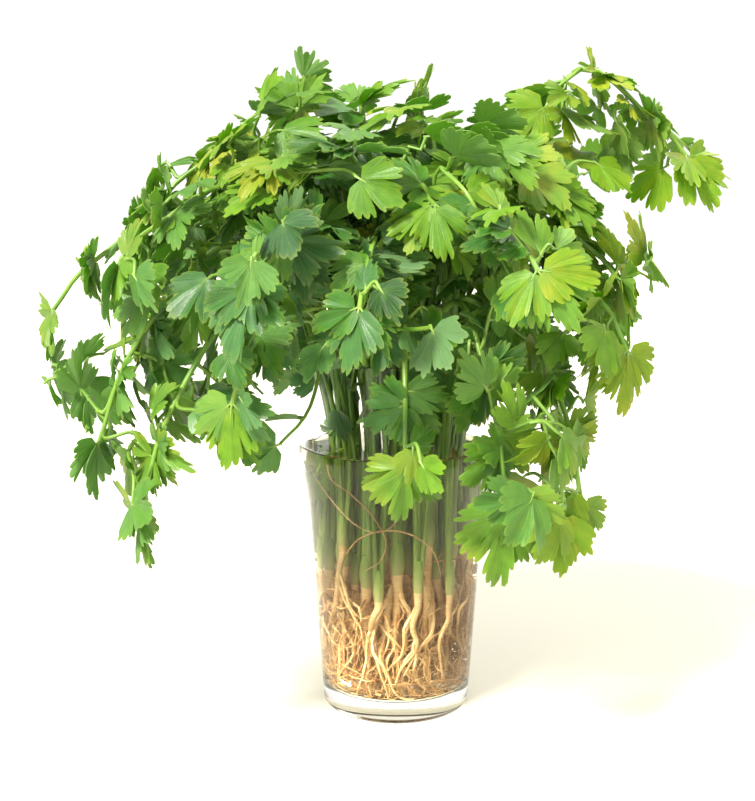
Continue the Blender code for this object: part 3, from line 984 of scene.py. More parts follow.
    def grow_stalks(self) -> None:
        """Lays out the stalks of the solids."""
        for plant in self.places:
            self.crowns[plant] = self.rng.uniform(*self.crown_range)
            grown: list[Stalk] = []
            fronds = FRONDS[plant]
            spread = self.trio_spread if len(fronds) > 2 else self.stalk_spread
            for index, frond in enumerate(fronds):
                offset = self.offset([Vector(each[0]) for each in fronds], index)
                self.add_stalk(plant, offset, spread, frond, grown, self.rng, self.stalk_tries)
            self.stalks.extend(grown)

    def leaflet_at(self, stalk: Stalk, pair: int, side: int, attempt: int, rng: random.Random) -> Leaflet:
        """Draws a leaflet that hangs from a stalk and faces out of the bunch.

        Args:
            stalk: The stalk that it grows on.
            pair: Its pair, counted back from the end leaflet, which is 0.
            side: The side that it grows on, or 0 for the end leaflet.
            attempt: How many were drawn before it. Each further one turns more.
            rng: The source of its turn.

        Returns:
            The leaflet.
        """
        base, run = stalk.node(pair, side * self.pair_stagger)
        heart = Vector((0, 0, min(self.rim_height, base.z)))
        out = (base - heart).normalized()
        across = run.cross(out).normalized()
        stray = stalk.stray + attempt * self.stray_step
        if pair:
            along = run * self.pair_forward + across * side + DOWN * self.pair_down
        else:
            along = run + DOWN * self.end_down
        along += Vector([rng.gauss(0, stray * self.aim_stray) for _ in range(3)])
        along = (along - out * along.dot(out) * self.inward).normalized()
        facing = out + Vector([rng.gauss(0, stray) for _ in range(3)])
        facing = (facing - along * facing.dot(along)).normalized()
        length = stalk.length * (self.side_leaflet_share if pair else 1)
        length *= rng.uniform(*self.length_range) * (1 - attempt * self.shrink_step)
        droop = rng.uniform(*self.droop_range)
        fold = rng.uniform(*self.fold_range)
        teeth = self.side_teeth if pair else self.end_teeth
        return Leaflet(base - along * self.blade_sink, along, facing, length, droop, fold, teeth)

    def grow_leaflets(self, stalks: Sequence[Stalk], rng: random.Random, tries: int,
                      allowed: Callable[[Leaflet], bool] = lambda leaflet: True) -> int:
        """Puts leaflets on stalks, the end ones first, each turned until it crosses nothing.

        Args:
            stalks: The stalks.
            rng: The source of their turns.
            tries: How often each may be turned.
            allowed: A further test that a leaflet has to pass.

        Returns:
            How many were placed.
        """
        nodes = [(stalk, 0, 0) for stalk in stalks]
        sides = [side.value for side in Side]
        for pair in range(1, self.most_pairs + 1):
            nodes += [(stalk, pair, side) for stalk in stalks for side in sides if pair <= stalk.pairs]
        placed = 0
        for stalk, pair, side in nodes:
            for attempt in range(tries):
                leaflet = self.leaflet_at(stalk, pair, side, attempt, rng)
                if not allowed(leaflet):
                    continue
                tree, low = self.blade_tree(leaflet)
                high = low > self.floor_clearance
                if high and self.clearing.free(tree, leaflet.base, leaflet.length, [stalk]):
                    stalk.leaflets.append(leaflet)
                    self.clearing.add(tree, leaflet.base, leaflet.length)
                    placed += 1
                    break
        return placed

    def add_tumbler(self, solid: bpy.types.Object) -> None:
        """Keeps what grows clear of the solid tumbler."""
        mesh = bmesh.new()
        mesh.from_mesh(solid.data)
        bmesh.ops.scale(mesh, vec=(1 / MM, 1 / MM, 1 / MM), verts=mesh.verts[:])
        self.clearing.add(BVHTree.FromBMesh(mesh), UP * self.rim_height / 2, self.rim_height)
        mesh.free()


@dataclass
class Seedling:
    """A slighter plant between those of the solids, whose parts go with the nearest one's."""

    plant: str
    place: Vector
    crown: float
    stalks: list[Stalk] = field(default_factory=list)


@dataclass
class Thicket:
    """The thin stalks and side branches that fill the bunch between the stalks of the solids.

    The front is the outline, by x and z on the plane through the origin, that the bunch has from the eye. The
    patches are the places that need more leaves, by middle, reach and number of branches, each listed one by
    one.
    The favoured plants get more short shoots than the others. The windows are where the glass stays open to
    the front.
    """

    growth: Growth
    seed: int = 29
    seedling_radius: float = 28.6
    seedling_turn: float = 15
    seedling_stray: float = 4
    inner_share: float = 1.45
    middle_seedlings: int = 6
    middle_radius: float = 6.3
    seedling_crowns: tuple[float, float] = (46, 82)
    risers: int = 78
    riser_tries: int = 24
    riser_scatter: float = 0.42
    riser_top: float = 246
    riser_fall: float = 0.006
    riser_depth: float = 40
    riser_spread: tuple[float, float] = (1.0, 5.0)
    riser_sway: float = 5
    riser_peak: float = 8
    bare_share: float = 0.62
    count: int = 150
    shoots: int = 300
    favour: dict[str, int] = field(default_factory=lambda: {
        "outer_000": 4, "outer_180": 3, "outer_210": 3, "outer_240": 2, "outer_300": 2, "outer_330": 2})
    shoot_leaving: tuple[float, float] = (0.56, 0.97)
    shoot_length: tuple[float, float] = (10, 26)
    shoot_leaflets: tuple[float, float] = (14, 21)
    tries: int = 45
    leaving: tuple[float, float] = (0.3, 0.86)
    length_range: tuple[float, float] = (26, 62)
    leaflet_range: tuple[float, float] = (16, 23)
    branch_run: float = 0.7
    branch_out: float = 0.6
    branch_stray: float = 0.6
    branch_sag: float = 0.2
    long_branch: float = 40
    spacing: float = 17
    stray: float = 0.55
    middle: tuple[float, float, float] = (-8, 0, 172)
    extent: tuple[float, float, float] = (120, 98, 86)
    window: tuple[float, float] = (-40, -6)
    window_top: float = 150
    foot_window: tuple[float, float] = (-38, 36)
    foot_top: float = 74
    mouth: float = 34
    mouth_depth: float = 24
    margin: float = 5.0
    leaflet_tries: int = 10
    front: tuple[tuple[float, float], ...] = tuple(seen(*point)[::2] for point in OUTLINE)
    patches: tuple[tuple[tuple[float, float, float], float, int], ...] = (
        ((-45, -10, 260), 7, 3), ((-48, -18, 254), 8, 2), ((-40, -25, 246), 8, 2),
        (seen(342, 88, -5), 10, 2), (seen(398, 95, 0), 10, 2), (seen(530, 108, -4), 8, 3),
        ((70, -8, 247), 8, 3), ((83, -8, 247), 8, 4), ((97, -8, 242), 8, 3), ((76, -14, 236), 8, 3),
        ((105, -6, 232), 6, 2), (seen(635, 198, -6), 8, 1), (seen(610, 262, -15), 8, 3),
        (seen(655, 278, -20), 8, 3), (seen(56, 384, -15), 6, 3), (seen(85, 372, -12), 8, 2),
        (seen(100, 338, -10), 8, 2), (seen(148, 388, -35), 10, 4), (seen(130, 440, -40), 8, 3),
        (seen(172, 492, -55), 7, 2), (seen(150, 540, -60), 6, 1), (seen(192, 402, -40), 8, 3),
        (seen(262, 440, -50), 8, 3), (seen(490, 495, -80), 8, 3), (seen(545, 450, -75), 8, 3),
        (seen(548, 505, -75), 8, 3), (seen(512, 572, -80), 7, 3), (seen(550, 420, -70), 8, 3),
        (seen(320, 400, -60), 6, 2), (seen(475, 430, -70), 8, 2), ((-28, -12, 122), 5, 3),
        ((-22, -22, 136), 5, 3), ((-9, -27, 139), 5, 3), ((4, -29, 131), 5, 3), ((17, -26, 136), 5, 2),
        ((-29, -10, 101), 4, 3), ((-16, -25, 121), 4, 2), ((-137, -12, 148), 6, 2),
        ((103, -14, 190), 6, 2), ((112, -12, 226), 5, 1), ((-16, 5, 262), 6, 2), ((-98, -55, 98), 5, 2),
        ((-84, -66, 103), 7, 3), ((-84, -38, 106), 7, 2), ((48, -86, 112), 8, 3), ((47, -66, 112), 8, 2),
        ((-35, -62, 140), 6, 3), ((-37, -44, 139), 6, 2), ((-46, 8, 260), 7, 3), ((-44, -20, 263), 7, 3),
        ((-4, -16, 254), 8, 3), ((104, -30, 180), 7, 3), ((-141, -20, 141), 5, 2),
        ((-102, -24, 144), 7, 2), ((55, -82, 62), 6, 2))
    mouth_leaflets: tuple[float, float] = (11, 15)
    patch_leaflets: tuple[float, float] = (18, 24)
    patch_reach: tuple[float, float] = (9, 36)
    end_gap: float = 4

    def in_front(self, point: Vector) -> bool:
        """Tells whether a point is within the bunch's outline, as it is seen from the front."""
        nearer = EYE[1] / (EYE[1] - point.y)
        x = EYE[0] + (point.x - EYE[0]) * nearer
        z = EYE[2] + (point.z - EYE[2]) * nearer
        crossings = 0
        for (x1, z1), (x2, z2) in zip(self.front, (*self.front[1:], self.front[0])):
            if (z1 > z) != (z2 > z) and x < x1 + (z - z1) * (x2 - x1) / (z2 - z1):
                crossings += 1
        return crossings % 2 == 1

    def open_at(self, point: Vector) -> bool:
        """Tells whether leaves may be at a point: within the solids' box, and not before the open glass."""
        low, high = ([side / MM for side in corner] for corner in CAD_BOX)
        inside = all(a - self.margin < value < b + self.margin for a, value, b in zip(low, point, high))
        inside = inside and self.in_front(point)
        if point.to_2d().length < self.mouth and point.z > self.growth.water_level - self.mouth_depth:
            return True
        front = point.y < 0
        window = front and self.window[0] < point.x < self.window[1] and point.z < self.window_top
        foot = front and self.foot_window[0] < point.x < self.foot_window[1] and point.z < self.foot_top
        return inside and not window and not foot

    def allows(self, leaflet: Leaflet) -> bool:
        """Tells whether a leaflet may be where it is."""
        rim = [leaflet.point(math.radians(turn), 0.95, 0) for turn in (-50, -20, 0, 20, 50)]
        return sum(self.open_at(point) for point in rim) >= len(rim) - 1

    def branch(self, parent: Stalk, short: bool, rng: random.Random) -> Stalk | None:
        """Draws a branch that leaves a stalk and reaches outwards.

        Args:
            parent: The stalk.
            short: Whether it is a short shoot near the stalk's end.
            rng: The source of its shape.

        Returns:
            The branch, or nothing where it would leave the bunch.
        """
        index = int(len(parent.line) * rng.uniform(*(self.shoot_leaving if short else self.leaving)))
        start = parent.line[index]
        run = (parent.line[index + 1] - parent.line[index - 1]).normalized()
        out = (start - Vector(self.middle)).normalized()
        stray = Vector([rng.gauss(0, self.branch_stray) for _ in range(3)])
        aim = (run * self.branch_run + out * self.branch_out + stray).normalized()
        length = rng.uniform(*(self.shoot_length if short else self.length_range))
        tip = start + aim * length + DOWN * length * self.branch_sag
        apart = sum(((a - b) / c) ** 2 for a, b, c in zip(tip, self.middle, self.extent))
        if not self.open_at(tip) or (apart > 1 and not short):
            return None
        sizes = self.shoot_leaflets if short else self.leaflet_range
        return self.draw(parent, index, tip, rng.uniform(*sizes))

    def draw(self, parent: Stalk, index: int, tip: Vector, leaf: float) -> Stalk:
        """Draws a branch to a place.

        Args:
            parent: The stalk that it leaves.
            index: The point of the stalk's line where it leaves.
            tip: Where it ends.
            leaf: Its end leaflet's length.

        Returns:
            The branch.
        """
        start = parent.line[index]
        run = (parent.line[index + 1] - parent.line[index - 1]).normalized()
        length = (tip - start).length
        aim = (tip - start) / length
        leaving = start + run * length * 0.28 + aim * length * 0.1
        knots = [start, leaving, start + aim * length * 0.7 + UP * 2, tip]
        return Stalk(parent.plant, smooth_line(knots, 10), leaf, 2 if length > self.long_branch else 1,
                     min(self.spacing, length * 0.6), self.growth.stalk_bends, self.stray)

    def add(self, branch: Stalk, parent: Stalk, rng: random.Random) -> bool:
        """Keeps a branch with its leaflets, where it crosses nothing and there is room for the end leaflet.

        Args:
            branch: The branch.
            parent: The stalk that it leaves.
            rng: The source of the leaflets' turns.

        Returns:
            True if it was kept.
        """
        tree = self.growth.stalk_tree(branch)
        middle = branch.line[len(branch.line) // 2]
        if not self.growth.clearing.free(tree, middle, self.length_range[1], [parent]):
            return False
        before = len(self.growth.clearing.shapes)
        self.growth.clearing.add(tree, middle, self.length_range[1], branch)
        self.growth.grow_leaflets([branch], rng, self.leaflet_tries, self.allows)
        if branch.leaflets and (branch.leaflets[0].base - branch.line[-1]).length < self.end_gap:
            return True
        del self.growth.clearing.shapes[before:]
        return False

    def fill_patches(self, parents: Sequence[Stalk], rng: random.Random) -> list[Stalk]:
        """Grows branches into the places that need more leaves, from the stalks that pass nearby."""
        low, high = self.patch_reach
        grown = []
        for middle, radius, number in self.patches:
            found = 0
            for _ in range(self.tries * number):
                tip = Vector(middle) + Vector([rng.uniform(-radius, radius) for _ in range(3)])
                starts = [((point - tip).length, rng.random(), parent, index) for parent in (*parents, *grown)
                          for index, point in list(enumerate(parent.line))[2:-2:3]]
                starts = sorted(start for start in starts if low < start[0] < high)[:8]
                if starts and self.open_at(tip):
                    _, _, parent, index = rng.choice(starts)
                    inside = tip.to_2d().length < self.mouth and tip.z < self.growth.rim_height
                    sizes = self.mouth_leaflets if inside else self.patch_leaflets
                    branch = self.draw(parent, index, tip, rng.uniform(*sizes))
                    if self.add(branch, parent, rng):
                        grown.append(branch)
                        found += 1
                if found == number:
                    break
        return grown

    def seedlings(self, rng: random.Random) -> list[Seedling]:
        """Plants the seedlings between the plants of the solids and the wall."""
        result = []
        for name, place in self.growth.places.items():
            if name.startswith("outer"):
                degrees = self.seedling_turn + rng.uniform(-self.seedling_stray, self.seedling_stray)
                turn = Matrix.Rotation(math.radians(degrees), 3, "Z")
                own = turn @ place.normalized() * self.seedling_radius
            elif name.startswith("inner"):
                own = place.normalized() * self.growth.inner_ring * self.inner_share
            else:
                continue
            result.append(Seedling(name, own, rng.uniform(*self.seedling_crowns)))
        for number in range(self.middle_seedlings):
            turn = Matrix.Rotation(math.radians(360 * number / self.middle_seedlings), 3, "Z")
            own = turn @ Vector((self.middle_radius, 0, 0))
            result.append(Seedling("centre", own, rng.uniform(*self.seedling_crowns)))
        return result

    def rise(self, seedling: Seedling, rng: random.Random) -> Stalk | None:
        """Draws a thin stalk that rises from a seedling into the middle of the bunch.

        Args:
            seedling: The seedling.
            rng: The source of its shape.

        Returns:
            The stalk, or nothing where no clear way was found.
        """
        for _ in range(self.riser_tries):
            turn = rng.uniform(0, 2 * math.pi)
            offset = Vector((math.cos(turn), math.sin(turn), 0))
            aside, deep = (rng.gauss(0, self.riser_scatter) * half for half in self.extent[:2])
            away = Vector((aside, deep, 0))
            tip = seedling.place + away
            tip.z = self.riser_top - self.riser_fall * away.length_squared - rng.uniform(0, self.riser_depth)
            spread = rng.uniform(*self.riser_spread)
            sway = Vector([rng.uniform(-self.riser_sway, self.riser_sway) for _ in range(3)])
            line = self.growth.stalk_line(seedling.place, seedling.crown, offset, spread, tip,
                                          tip.z - self.riser_peak, sway)
            stalk = Stalk(seedling.plant, line, rng.uniform(*self.leaflet_range), 2, self.spacing,
                          self.growth.stalk_bends, self.stray)
            tree = self.growth.stalk_tree(stalk)
            middle = UP * self.growth.rim_height
            within = all(self.in_front(point) for point in line if point.z > self.growth.rim_height)
            if within and self.open_at(tip) and self.growth.clearing.free(tree, middle, 0, seedling.stalks):
                self.growth.clearing.add(tree, middle, self.growth.stalk_reach, stalk)
                seedling.stalks.append(stalk)
                return stalk
        return None

    def grow(self) -> tuple[list[Seedling], list[Stalk]]:
        """Grows the seedlings, the branches and their leaflets.

        Returns:
            The seedlings, and all the stalks and branches.
        """
        rng = random.Random(self.seed)
        seedlings = self.seedlings(rng)
        risen = [self.rise(seedlings[number % len(seedlings)], rng) for number in range(self.risers)]
        branches = [stalk for stalk in risen if stalk]
        self.growth.grow_leaflets(branches, rng, self.leaflet_tries, self.allows)
        for stalk in branches:
            if not stalk.leaflets:
                stalk.line = stalk.line[:int(len(stalk.line) * self.bare_share)]
        LOG.info("%d thin stalks rise from %d seedlings", len(branches), len(seedlings))
        filling = self.fill_patches([*self.growth.stalks, *branches], rng)
        LOG.info("%d branches fill the patches", len(filling))
        branches.extend(filling)
        parents = [*self.growth.stalks, *branches]
        ends = [stalk for stalk in self.growth.stalks for _ in range(self.favour.get(stalk.plant, 1))]
        for number in range(self.count + self.shoots):
            short = number >= self.count
            parents = ends if short else parents
            parent = parents[number % len(parents)]
            for _ in range(self.tries):
                branch = self.branch(parent, short, rng)
                if branch and self.add(branch, parent, rng):
                    branches.append(branch)
                    break
        placed = sum(len(branch.leaflets) for branch in branches)
        LOG.info("%d branches with %d leaflets were added", len(branches), placed)
        return seedlings, branches


@dataclass
class BladeShape:
    """A leaflet's plain shape, one unit long: three lobes with rounded teeth that fan out from its foot.

    The rim is given for one side of the midrib by tooth, bearing in degrees and share of the length. The tip
    of a tooth is at a whole number, and the notches are between.
    """

    rng: random.Random
    width: float
    spread: float
    rows: tuple[float, ...]
    rim: tuple[tuple[float, float, float], ...] = (
        (0.35, 3.6, 0.98), (0.5, 5.4, 0.885), (0.65, 7.0, 0.935), (1.0, 9.8, 0.95), (1.35, 12.6, 0.90),
        (1.5, 14.2, 0.81), (1.65, 15.8, 0.855), (2.0, 18.4, 0.85), (2.35, 20.6, 0.75), (2.5, 22.4, 0.49),
        (2.6, 25.2, 0.67), (2.75, 27.4, 0.77), (3.0, 30.0, 0.835), (3.35, 33.0, 0.82), (3.5, 35.0, 0.74),
        (3.65, 37.2, 0.80), (4.0, 40.6, 0.845), (4.35, 44.2, 0.80), (4.5, 46.4, 0.71), (4.65, 48.8, 0.765),
        (5.0, 52.8, 0.775), (5.35, 57.0, 0.71), (5.5, 59.8, 0.61), (5.65, 62.4, 0.655), (6.0, 67.0, 0.64),
        (6.35, 72.5, 0.54), (6.5, 76.0, 0.42), (6.8, 85.0, 0.22))
    foot: float = 0.1
    thickness: float = 0.012
    unevenness: float = 0.06
    wave: float = 0.04
    cup: float = 0.05

    def outline(self) -> list[tuple[float, float, float]]:
        """Gives the whole rim from left to right, a little uneven."""
        left = [(-tooth, -bearing, share) for tooth, bearing, share in reversed(self.rim)]
        sides = []
        for half in (left, list(self.rim)):
            teeth = [1 + self.rng.gauss(0, self.unevenness) for _ in range(10)]
            lean = self.spread * (1 + self.rng.gauss(0, self.unevenness))
            sides.append([(tooth, bearing * lean, share * teeth[round(abs(tooth))])
                          for tooth, bearing, share in half])
        return [*sides[0], (0.0, 0.0, 1.0), *sides[1]]

    def build(self, name: str) -> bpy.types.Mesh:
        """Makes the shape as a closed sheet, with its underside marked and a map of teeth and reach."""
        rim = self.outline()
        mesh = bmesh.new()
        under = mesh.verts.layers.float.new(UNDER)
        uv = mesh.loops.layers.uv.new(BLADE_MAP)
        bmesh.ops.create_grid(mesh, x_segments=len(rim) - 1, y_segments=len(self.rows) - 1, size=1)
        phase = self.rng.uniform(0, 6.28)
        for face in mesh.faces:
            for loop in face.loops:
                column, row = self.cell(loop.vert.co, len(rim))
                loop[uv].uv = ((rim[column][0] + TEETH / 2) / TEETH, self.rows[row])
        for vert in mesh.verts:
            column, row = self.cell(vert.co, len(rim))
            tooth, bearing, share = rim[column]
            turn = math.radians(bearing)
            reach = self.rows[row]
            flat = Vector((share * math.sin(turn) * self.width, share * math.cos(turn), 0)) * reach
            flat.y += self.foot * (1 - reach)
            flat.z = reach * reach * self.wave * math.sin(tooth * 1.6 + phase)
            flat.z -= self.cup * reach * math.cos(tooth * math.pi / 2.5) * 0.5
            vert.co = flat
            vert[under] = 1
        bmesh.ops.remove_doubles(mesh, verts=mesh.verts[:], dist=1e-5)
        grown = bmesh.ops.extrude_face_region(mesh, geom=mesh.faces[:])["geom"]
        upper = [part for part in grown if isinstance(part, bmesh.types.BMVert)]
        bmesh.ops.translate(mesh, verts=upper, vec=UP * self.thickness)
        for vert in upper:
            vert[under] = 0
        bmesh.ops.recalc_face_normals(mesh, faces=mesh.faces[:])
        data = bpy.data.meshes.new(name)
        mesh.to_mesh(data)
        mesh.free()
        return data

    def cell(self, place: Vector, columns: int) -> tuple[int, int]:
        """Finds the column and row of a point of the plain grid."""
        return round((place.x + 1) / 2 * (columns - 1)), round((place.y + 1) / 2 * (len(self.rows) - 1))


@dataclass
class StrandShape:
    """A plain closed tube of unit size, which is bent along a line."""

    sides: int
    rings: int

    def build(self, name: str) -> bpy.types.Mesh:
        """Makes the tube, with its rings at whole heights from 0."""
        mesh = bmesh.new()
        bmesh.ops.create_cone(mesh, cap_ends=True, segments=self.sides, radius1=1, radius2=1,
                              depth=self.rings, matrix=Matrix.Translation(UP * self.rings / 2))
        tall = [edge for edge in mesh.edges if abs(edge.verts[0].co.z - edge.verts[1].co.z) > 0.5]
        bmesh.ops.subdivide_edges(mesh, edges=tall, cuts=self.rings - 1, use_grid_fill=True)
        data = bpy.data.meshes.new(name)
        mesh.to_mesh(data)
        mesh.free()
        return data


class Weave:
    """One piece's mesh in the making, into which plain shapes are copied and bent."""

    def __init__(self, shapes: dict[str, bpy.types.Mesh]) -> None:
        self.shapes = shapes
        self.mesh = bmesh.new()
        self.tone = self.mesh.verts.layers.float.new(LIGHT_AND_TONE)
        self.pale = self.mesh.verts.layers.float.new(PALE_AND_SHEEN)
        self.mesh.verts.layers.float.new(UNDER)
        self.skin = self.mesh.verts.layers.float_vector.new(SKIN)
        self.mesh.loops.layers.uv.new(BLADE_MAP)

    def stamp(self, shape: str, material: int) -> list[bmesh.types.BMVert]:
        """Copies a plain shape into the mesh.

        Args:
            shape: Its name.
            material: The material that its faces have.

        Returns:
            Its points.
        """
        vert_count, face_count = len(self.mesh.verts), len(self.mesh.faces)
        self.mesh.from_mesh(self.shapes[shape])
        self.mesh.verts.ensure_lookup_table()
        self.mesh.faces.ensure_lookup_table()
        for face in self.mesh.faces[face_count:]:
            face.material_index = material
        return self.mesh.verts[vert_count:]

    def strand(self, shape: str, line: Sequence[Vector], radii: Sequence[float], pale: Sequence[float],
               ribs: float = 0.0) -> None:
        """Adds a tube along a line.

        Args:
            shape: The plain tube's name.
            line: The line, at any spacing.
            radii: Radii from its start to its end, at even distances.
            pale: How pale it is, at even distances too.
            ribs: How far its ribs stand out, as a share of the radius.
        """
        verts = self.stamp(shape, 0)
        rings = round(max(vert.co.z for vert in verts))
        points = spaced(line, rings + 1)
        step = sum((b - a).length for a, b in zip(points, points[1:])) / rings
        runs = [(points[min(k + 1, rings)] - points[max(k - 1, 0)]).normalized() for k in range(rings + 1)]
        across = runs[0].orthogonal()
        frames = []
        for run in runs:
            across = (across - run * across.dot(run)).normalized()
            frames.append((across, run.cross(across)))
        for vert in verts:
            x, y, height = vert.co
            ring = round(height)
            share = ring / rings
            radius = blended(radii, share)
            radius *= 1 + ribs * math.cos(5 * math.atan2(y, x))
            first, second = frames[ring]
            vert.co = points[ring] + (first * x + second * y) * radius
            vert[self.pale] = blended(pale, share)
            vert[self.skin] = (x, y, ring * step)

    def blade(self, shape: str, leaflet: Leaflet, tone: float, painted_sheen: float) -> None:
        """Adds a leaflet's blade and the short stalk that it hangs by.

        Args:
            shape: The plain blade's name.
            leaflet: The leaflet.
            tone: How light its green is, from 0 to 1, partly painted light and shade.
            painted_sheen: How much painted sheen, a greyish-blue tint, its green has, from 0 to 1.
        """
        for vert in self.stamp(shape, 1):
            x, y, lift = vert.co
            vert.co = leaflet.point(math.atan2(x, y), math.hypot(x, y), lift * leaflet.length)
            vert[self.tone] = tone
            # On a leaflet the pale attribute holds its painted sheen.
            vert[self.pale] = painted_sheen
        own_stalk = [leaflet.point(0, share, 0.1) for share in (-0.03, 0.05, 0.12, 0.24)]
        self.strand("twig", own_stalk, (0.6, 0.5, 0.34, 0.12), (0.1,))


def blended(values: Sequence[float], share: float) -> float:
    """Reads a value between evenly spaced ones.

    Args:
        values: The values.
        share: Where to read, from 0 at the first to 1 at the last.

    Returns:
        The value there.
    """
    place = share * (len(values) - 1)
    index = min(int(place), len(values) - 2) if len(values) > 1 else 0
    after = min(index + 1, len(values) - 1)
    return values[index] + (values[after] - values[index]) * (place - index)


def plain_shapes(rng: random.Random, blades: int) -> dict[str, bpy.types.Mesh]:
    """Makes the plain shapes that the pieces are woven from."""
    shapes = {}
    for k in range(blades):
        for name, width, spread, rows in (("fine", 0.9, 0.88, (0.0, 0.42, 0.76, 1.0)),
                                          ("broad", 1.0, 0.97, (0.0, 0.55, 1.0)),
                                          ("narrow", 0.88, 0.84, (0.0, 0.55, 1.0))):
            shapes[f"{name}_{k}"] = BladeShape(rng, width, spread, rows).build(f"{name}_{k}")
    strands = {"stem": (8, 36), "shoot": (6, 16), "twig": (5, 4), "crown": (12, 8), "tap": (10, 30),
               "rootlet": (5, 14), "hair": (3, 15)}
    for name, (sides, rings) in strands.items():
        shapes[name] = StrandShape(sides, rings).build(name)
    return shapes


@dataclass
class Plant:
    """A plant's green part: its crown, its leaf stalks with their branches, and its leaflets."""

    name: str
    place: Vector
    crown: float
    stalks: Sequence[Stalk]
    branches: Sequence[Stalk]
    seedlings: Sequence[Seedling]
    shapes: dict[str, bpy.types.Mesh]
    blades: int
    crown_radii: tuple[float, ...] = (2.2, 2.75, 3.0, 2.95, 2.7, 2.3, 1.8)
    crown_height: float = 14
    parting: tuple[tuple[float, float], ...] = ((0, 0.88), (-50, 0.72), (50, 0.72))
    stem_radii: tuple[float, ...] = (1.55, 1.3, 1.25, 1.25, 1.15, 1.05, 0.9)
    shoot_radii: tuple[float, ...] = (0.95, 0.75, 0.6)
    fading: tuple[float, ...] = (0.45, 0.12, 0.03, 0.0, 0.0, 0.0, 0.0, 0.0, 0.0)
    crown_fading: tuple[float, ...] = (1.0, 0.75, 0.45, 0.3, 0.15)
    seedling_share: float = 0.8
    seedling_crown: float = 0.75
    yellow_share: float = 0.04
    yellow_tone: tuple[float, float] = (0.6, 0.85)
    tone_range: tuple[float, float] = (0.02, 0.74)
    painted_sheen_range: tuple[float, float] = (0.0, 0.9)

    def tone(self, leaflet: Leaflet, rng: random.Random) -> float:
        """Draws how light a leaflet's green is, partly at random and partly as painted light and shade:
        lighter at the sides, at the top, low down and on the right, and darker within the bunch.
        """
        if rng.random() < self.yellow_share:
            return rng.uniform(*self.yellow_tone)
        middle = leaflet.point(0, 0.6, 0)
        outer = min(1.0, abs(middle.x + 8) / 115 + max(0, 160 - middle.z) / 130)
        top = max(0, middle.z - 205) / 45
        value = 0.18 + 0.5 * outer + 0.22 * top + max(0, middle.x) / 1100 + rng.gauss(0, 0.13)
        return min(self.tone_range[1], max(self.tone_range[0], value))

    def painted_sheen_amount(self, leaflet: Leaflet, rng: random.Random) -> float:
        """Draws how much painted sheen a leaflet has, a greyish-blue tint that stands in for light glancing
        off it: more on the left and low down.
        """
        value = 0.12 - leaflet.base.x / 420 + (200 - leaflet.base.z) / 500 + rng.gauss(0, 0.2)
        return min(self.painted_sheen_range[1], max(self.painted_sheen_range[0], value))

    def parted(self, leaflet: Leaflet, rng: random.Random) -> list[Leaflet]:
        """Parts a leaflet of the solids into three that fan out within its form.

        Args:
            leaflet: The leaflet.
            rng: The source of how uneven they are.

        Returns:
            The middle part and the two at its sides.
        """
        side = leaflet.along.cross(leaflet.facing)
        parts = []
        for turn, share in self.parting:
            angle = math.radians(turn + rng.gauss(0, 4))
            along = leaflet.along * math.cos(angle) + side * math.sin(angle)
            along += leaflet.facing * leaflet.fold * abs(math.sin(angle))
            along.normalize()
            facing = leaflet.facing + Vector([rng.gauss(0, 0.16) for _ in range(3)])
            facing = (facing - along * facing.dot(along)).normalized()
            length = leaflet.length * share * rng.uniform(0.93, 1.05)
            parts.append(Leaflet(leaflet.base, along, facing, length, leaflet.droop * rng.uniform(0.7, 1.4),
                                 rng.uniform(-0.25, 0.35), leaflet.teeth))
        return parts

    def build(self, materials: Sequence[bpy.types.Material], rng: random.Random) -> None:
        """Makes the piece."""
        weave = Weave(self.shapes)
        foot = self.place + UP * (self.crown - 0.5)
        weave.strand("crown", [foot, foot + UP * self.crown_height], self.crown_radii, self.crown_fading)
        for stalk in self.stalks:
            weave.strand("stem", stalk.line, self.stem_radii, self.fading, 0.05)
        risen = [stalk for seedling in self.seedlings for stalk in seedling.stalks]
        slight = [radius * self.seedling_share for radius in self.stem_radii]
        for stalk in risen:
            weave.strand("stem", stalk.line, slight, self.fading, 0.05)
        for seedling in self.seedlings:
            foot = seedling.place + UP * (seedling.crown - 0.5)
            radii = [radius * self.seedling_crown for radius in self.crown_radii]
            weave.strand("crown", [foot, foot + UP * self.crown_height], radii, self.crown_fading)
        for branch in self.branches:
            if not any(branch is stalk for stalk in risen):
                weave.strand("shoot", branch.line, self.shoot_radii, (0.05,))
        for stalk in self.stalks:
            for leaflet in stalk.leaflets:
                tone = self.tone(leaflet, rng)
                for width, part in zip(("fine", "narrow", "narrow"), self.parted(leaflet, rng)):
                    shape = f"{width}_{rng.randrange(self.blades)}"
                    weave.blade(shape, part, tone + rng.gauss(0, 0.05), self.painted_sheen_amount(part, rng))
        for branch in self.branches:
            for leaflet in branch.leaflets:
                width = "broad" if leaflet.teeth == Growth.end_teeth else "narrow"
                shape = f"{width}_{rng.randrange(self.blades)}"
                weave.blade(shape, leaflet, self.tone(leaflet, rng), self.painted_sheen_amount(leaflet, rng))
        settle("fronds_" + self.name, weave.mesh, materials, "plant_" + self.name, 60)


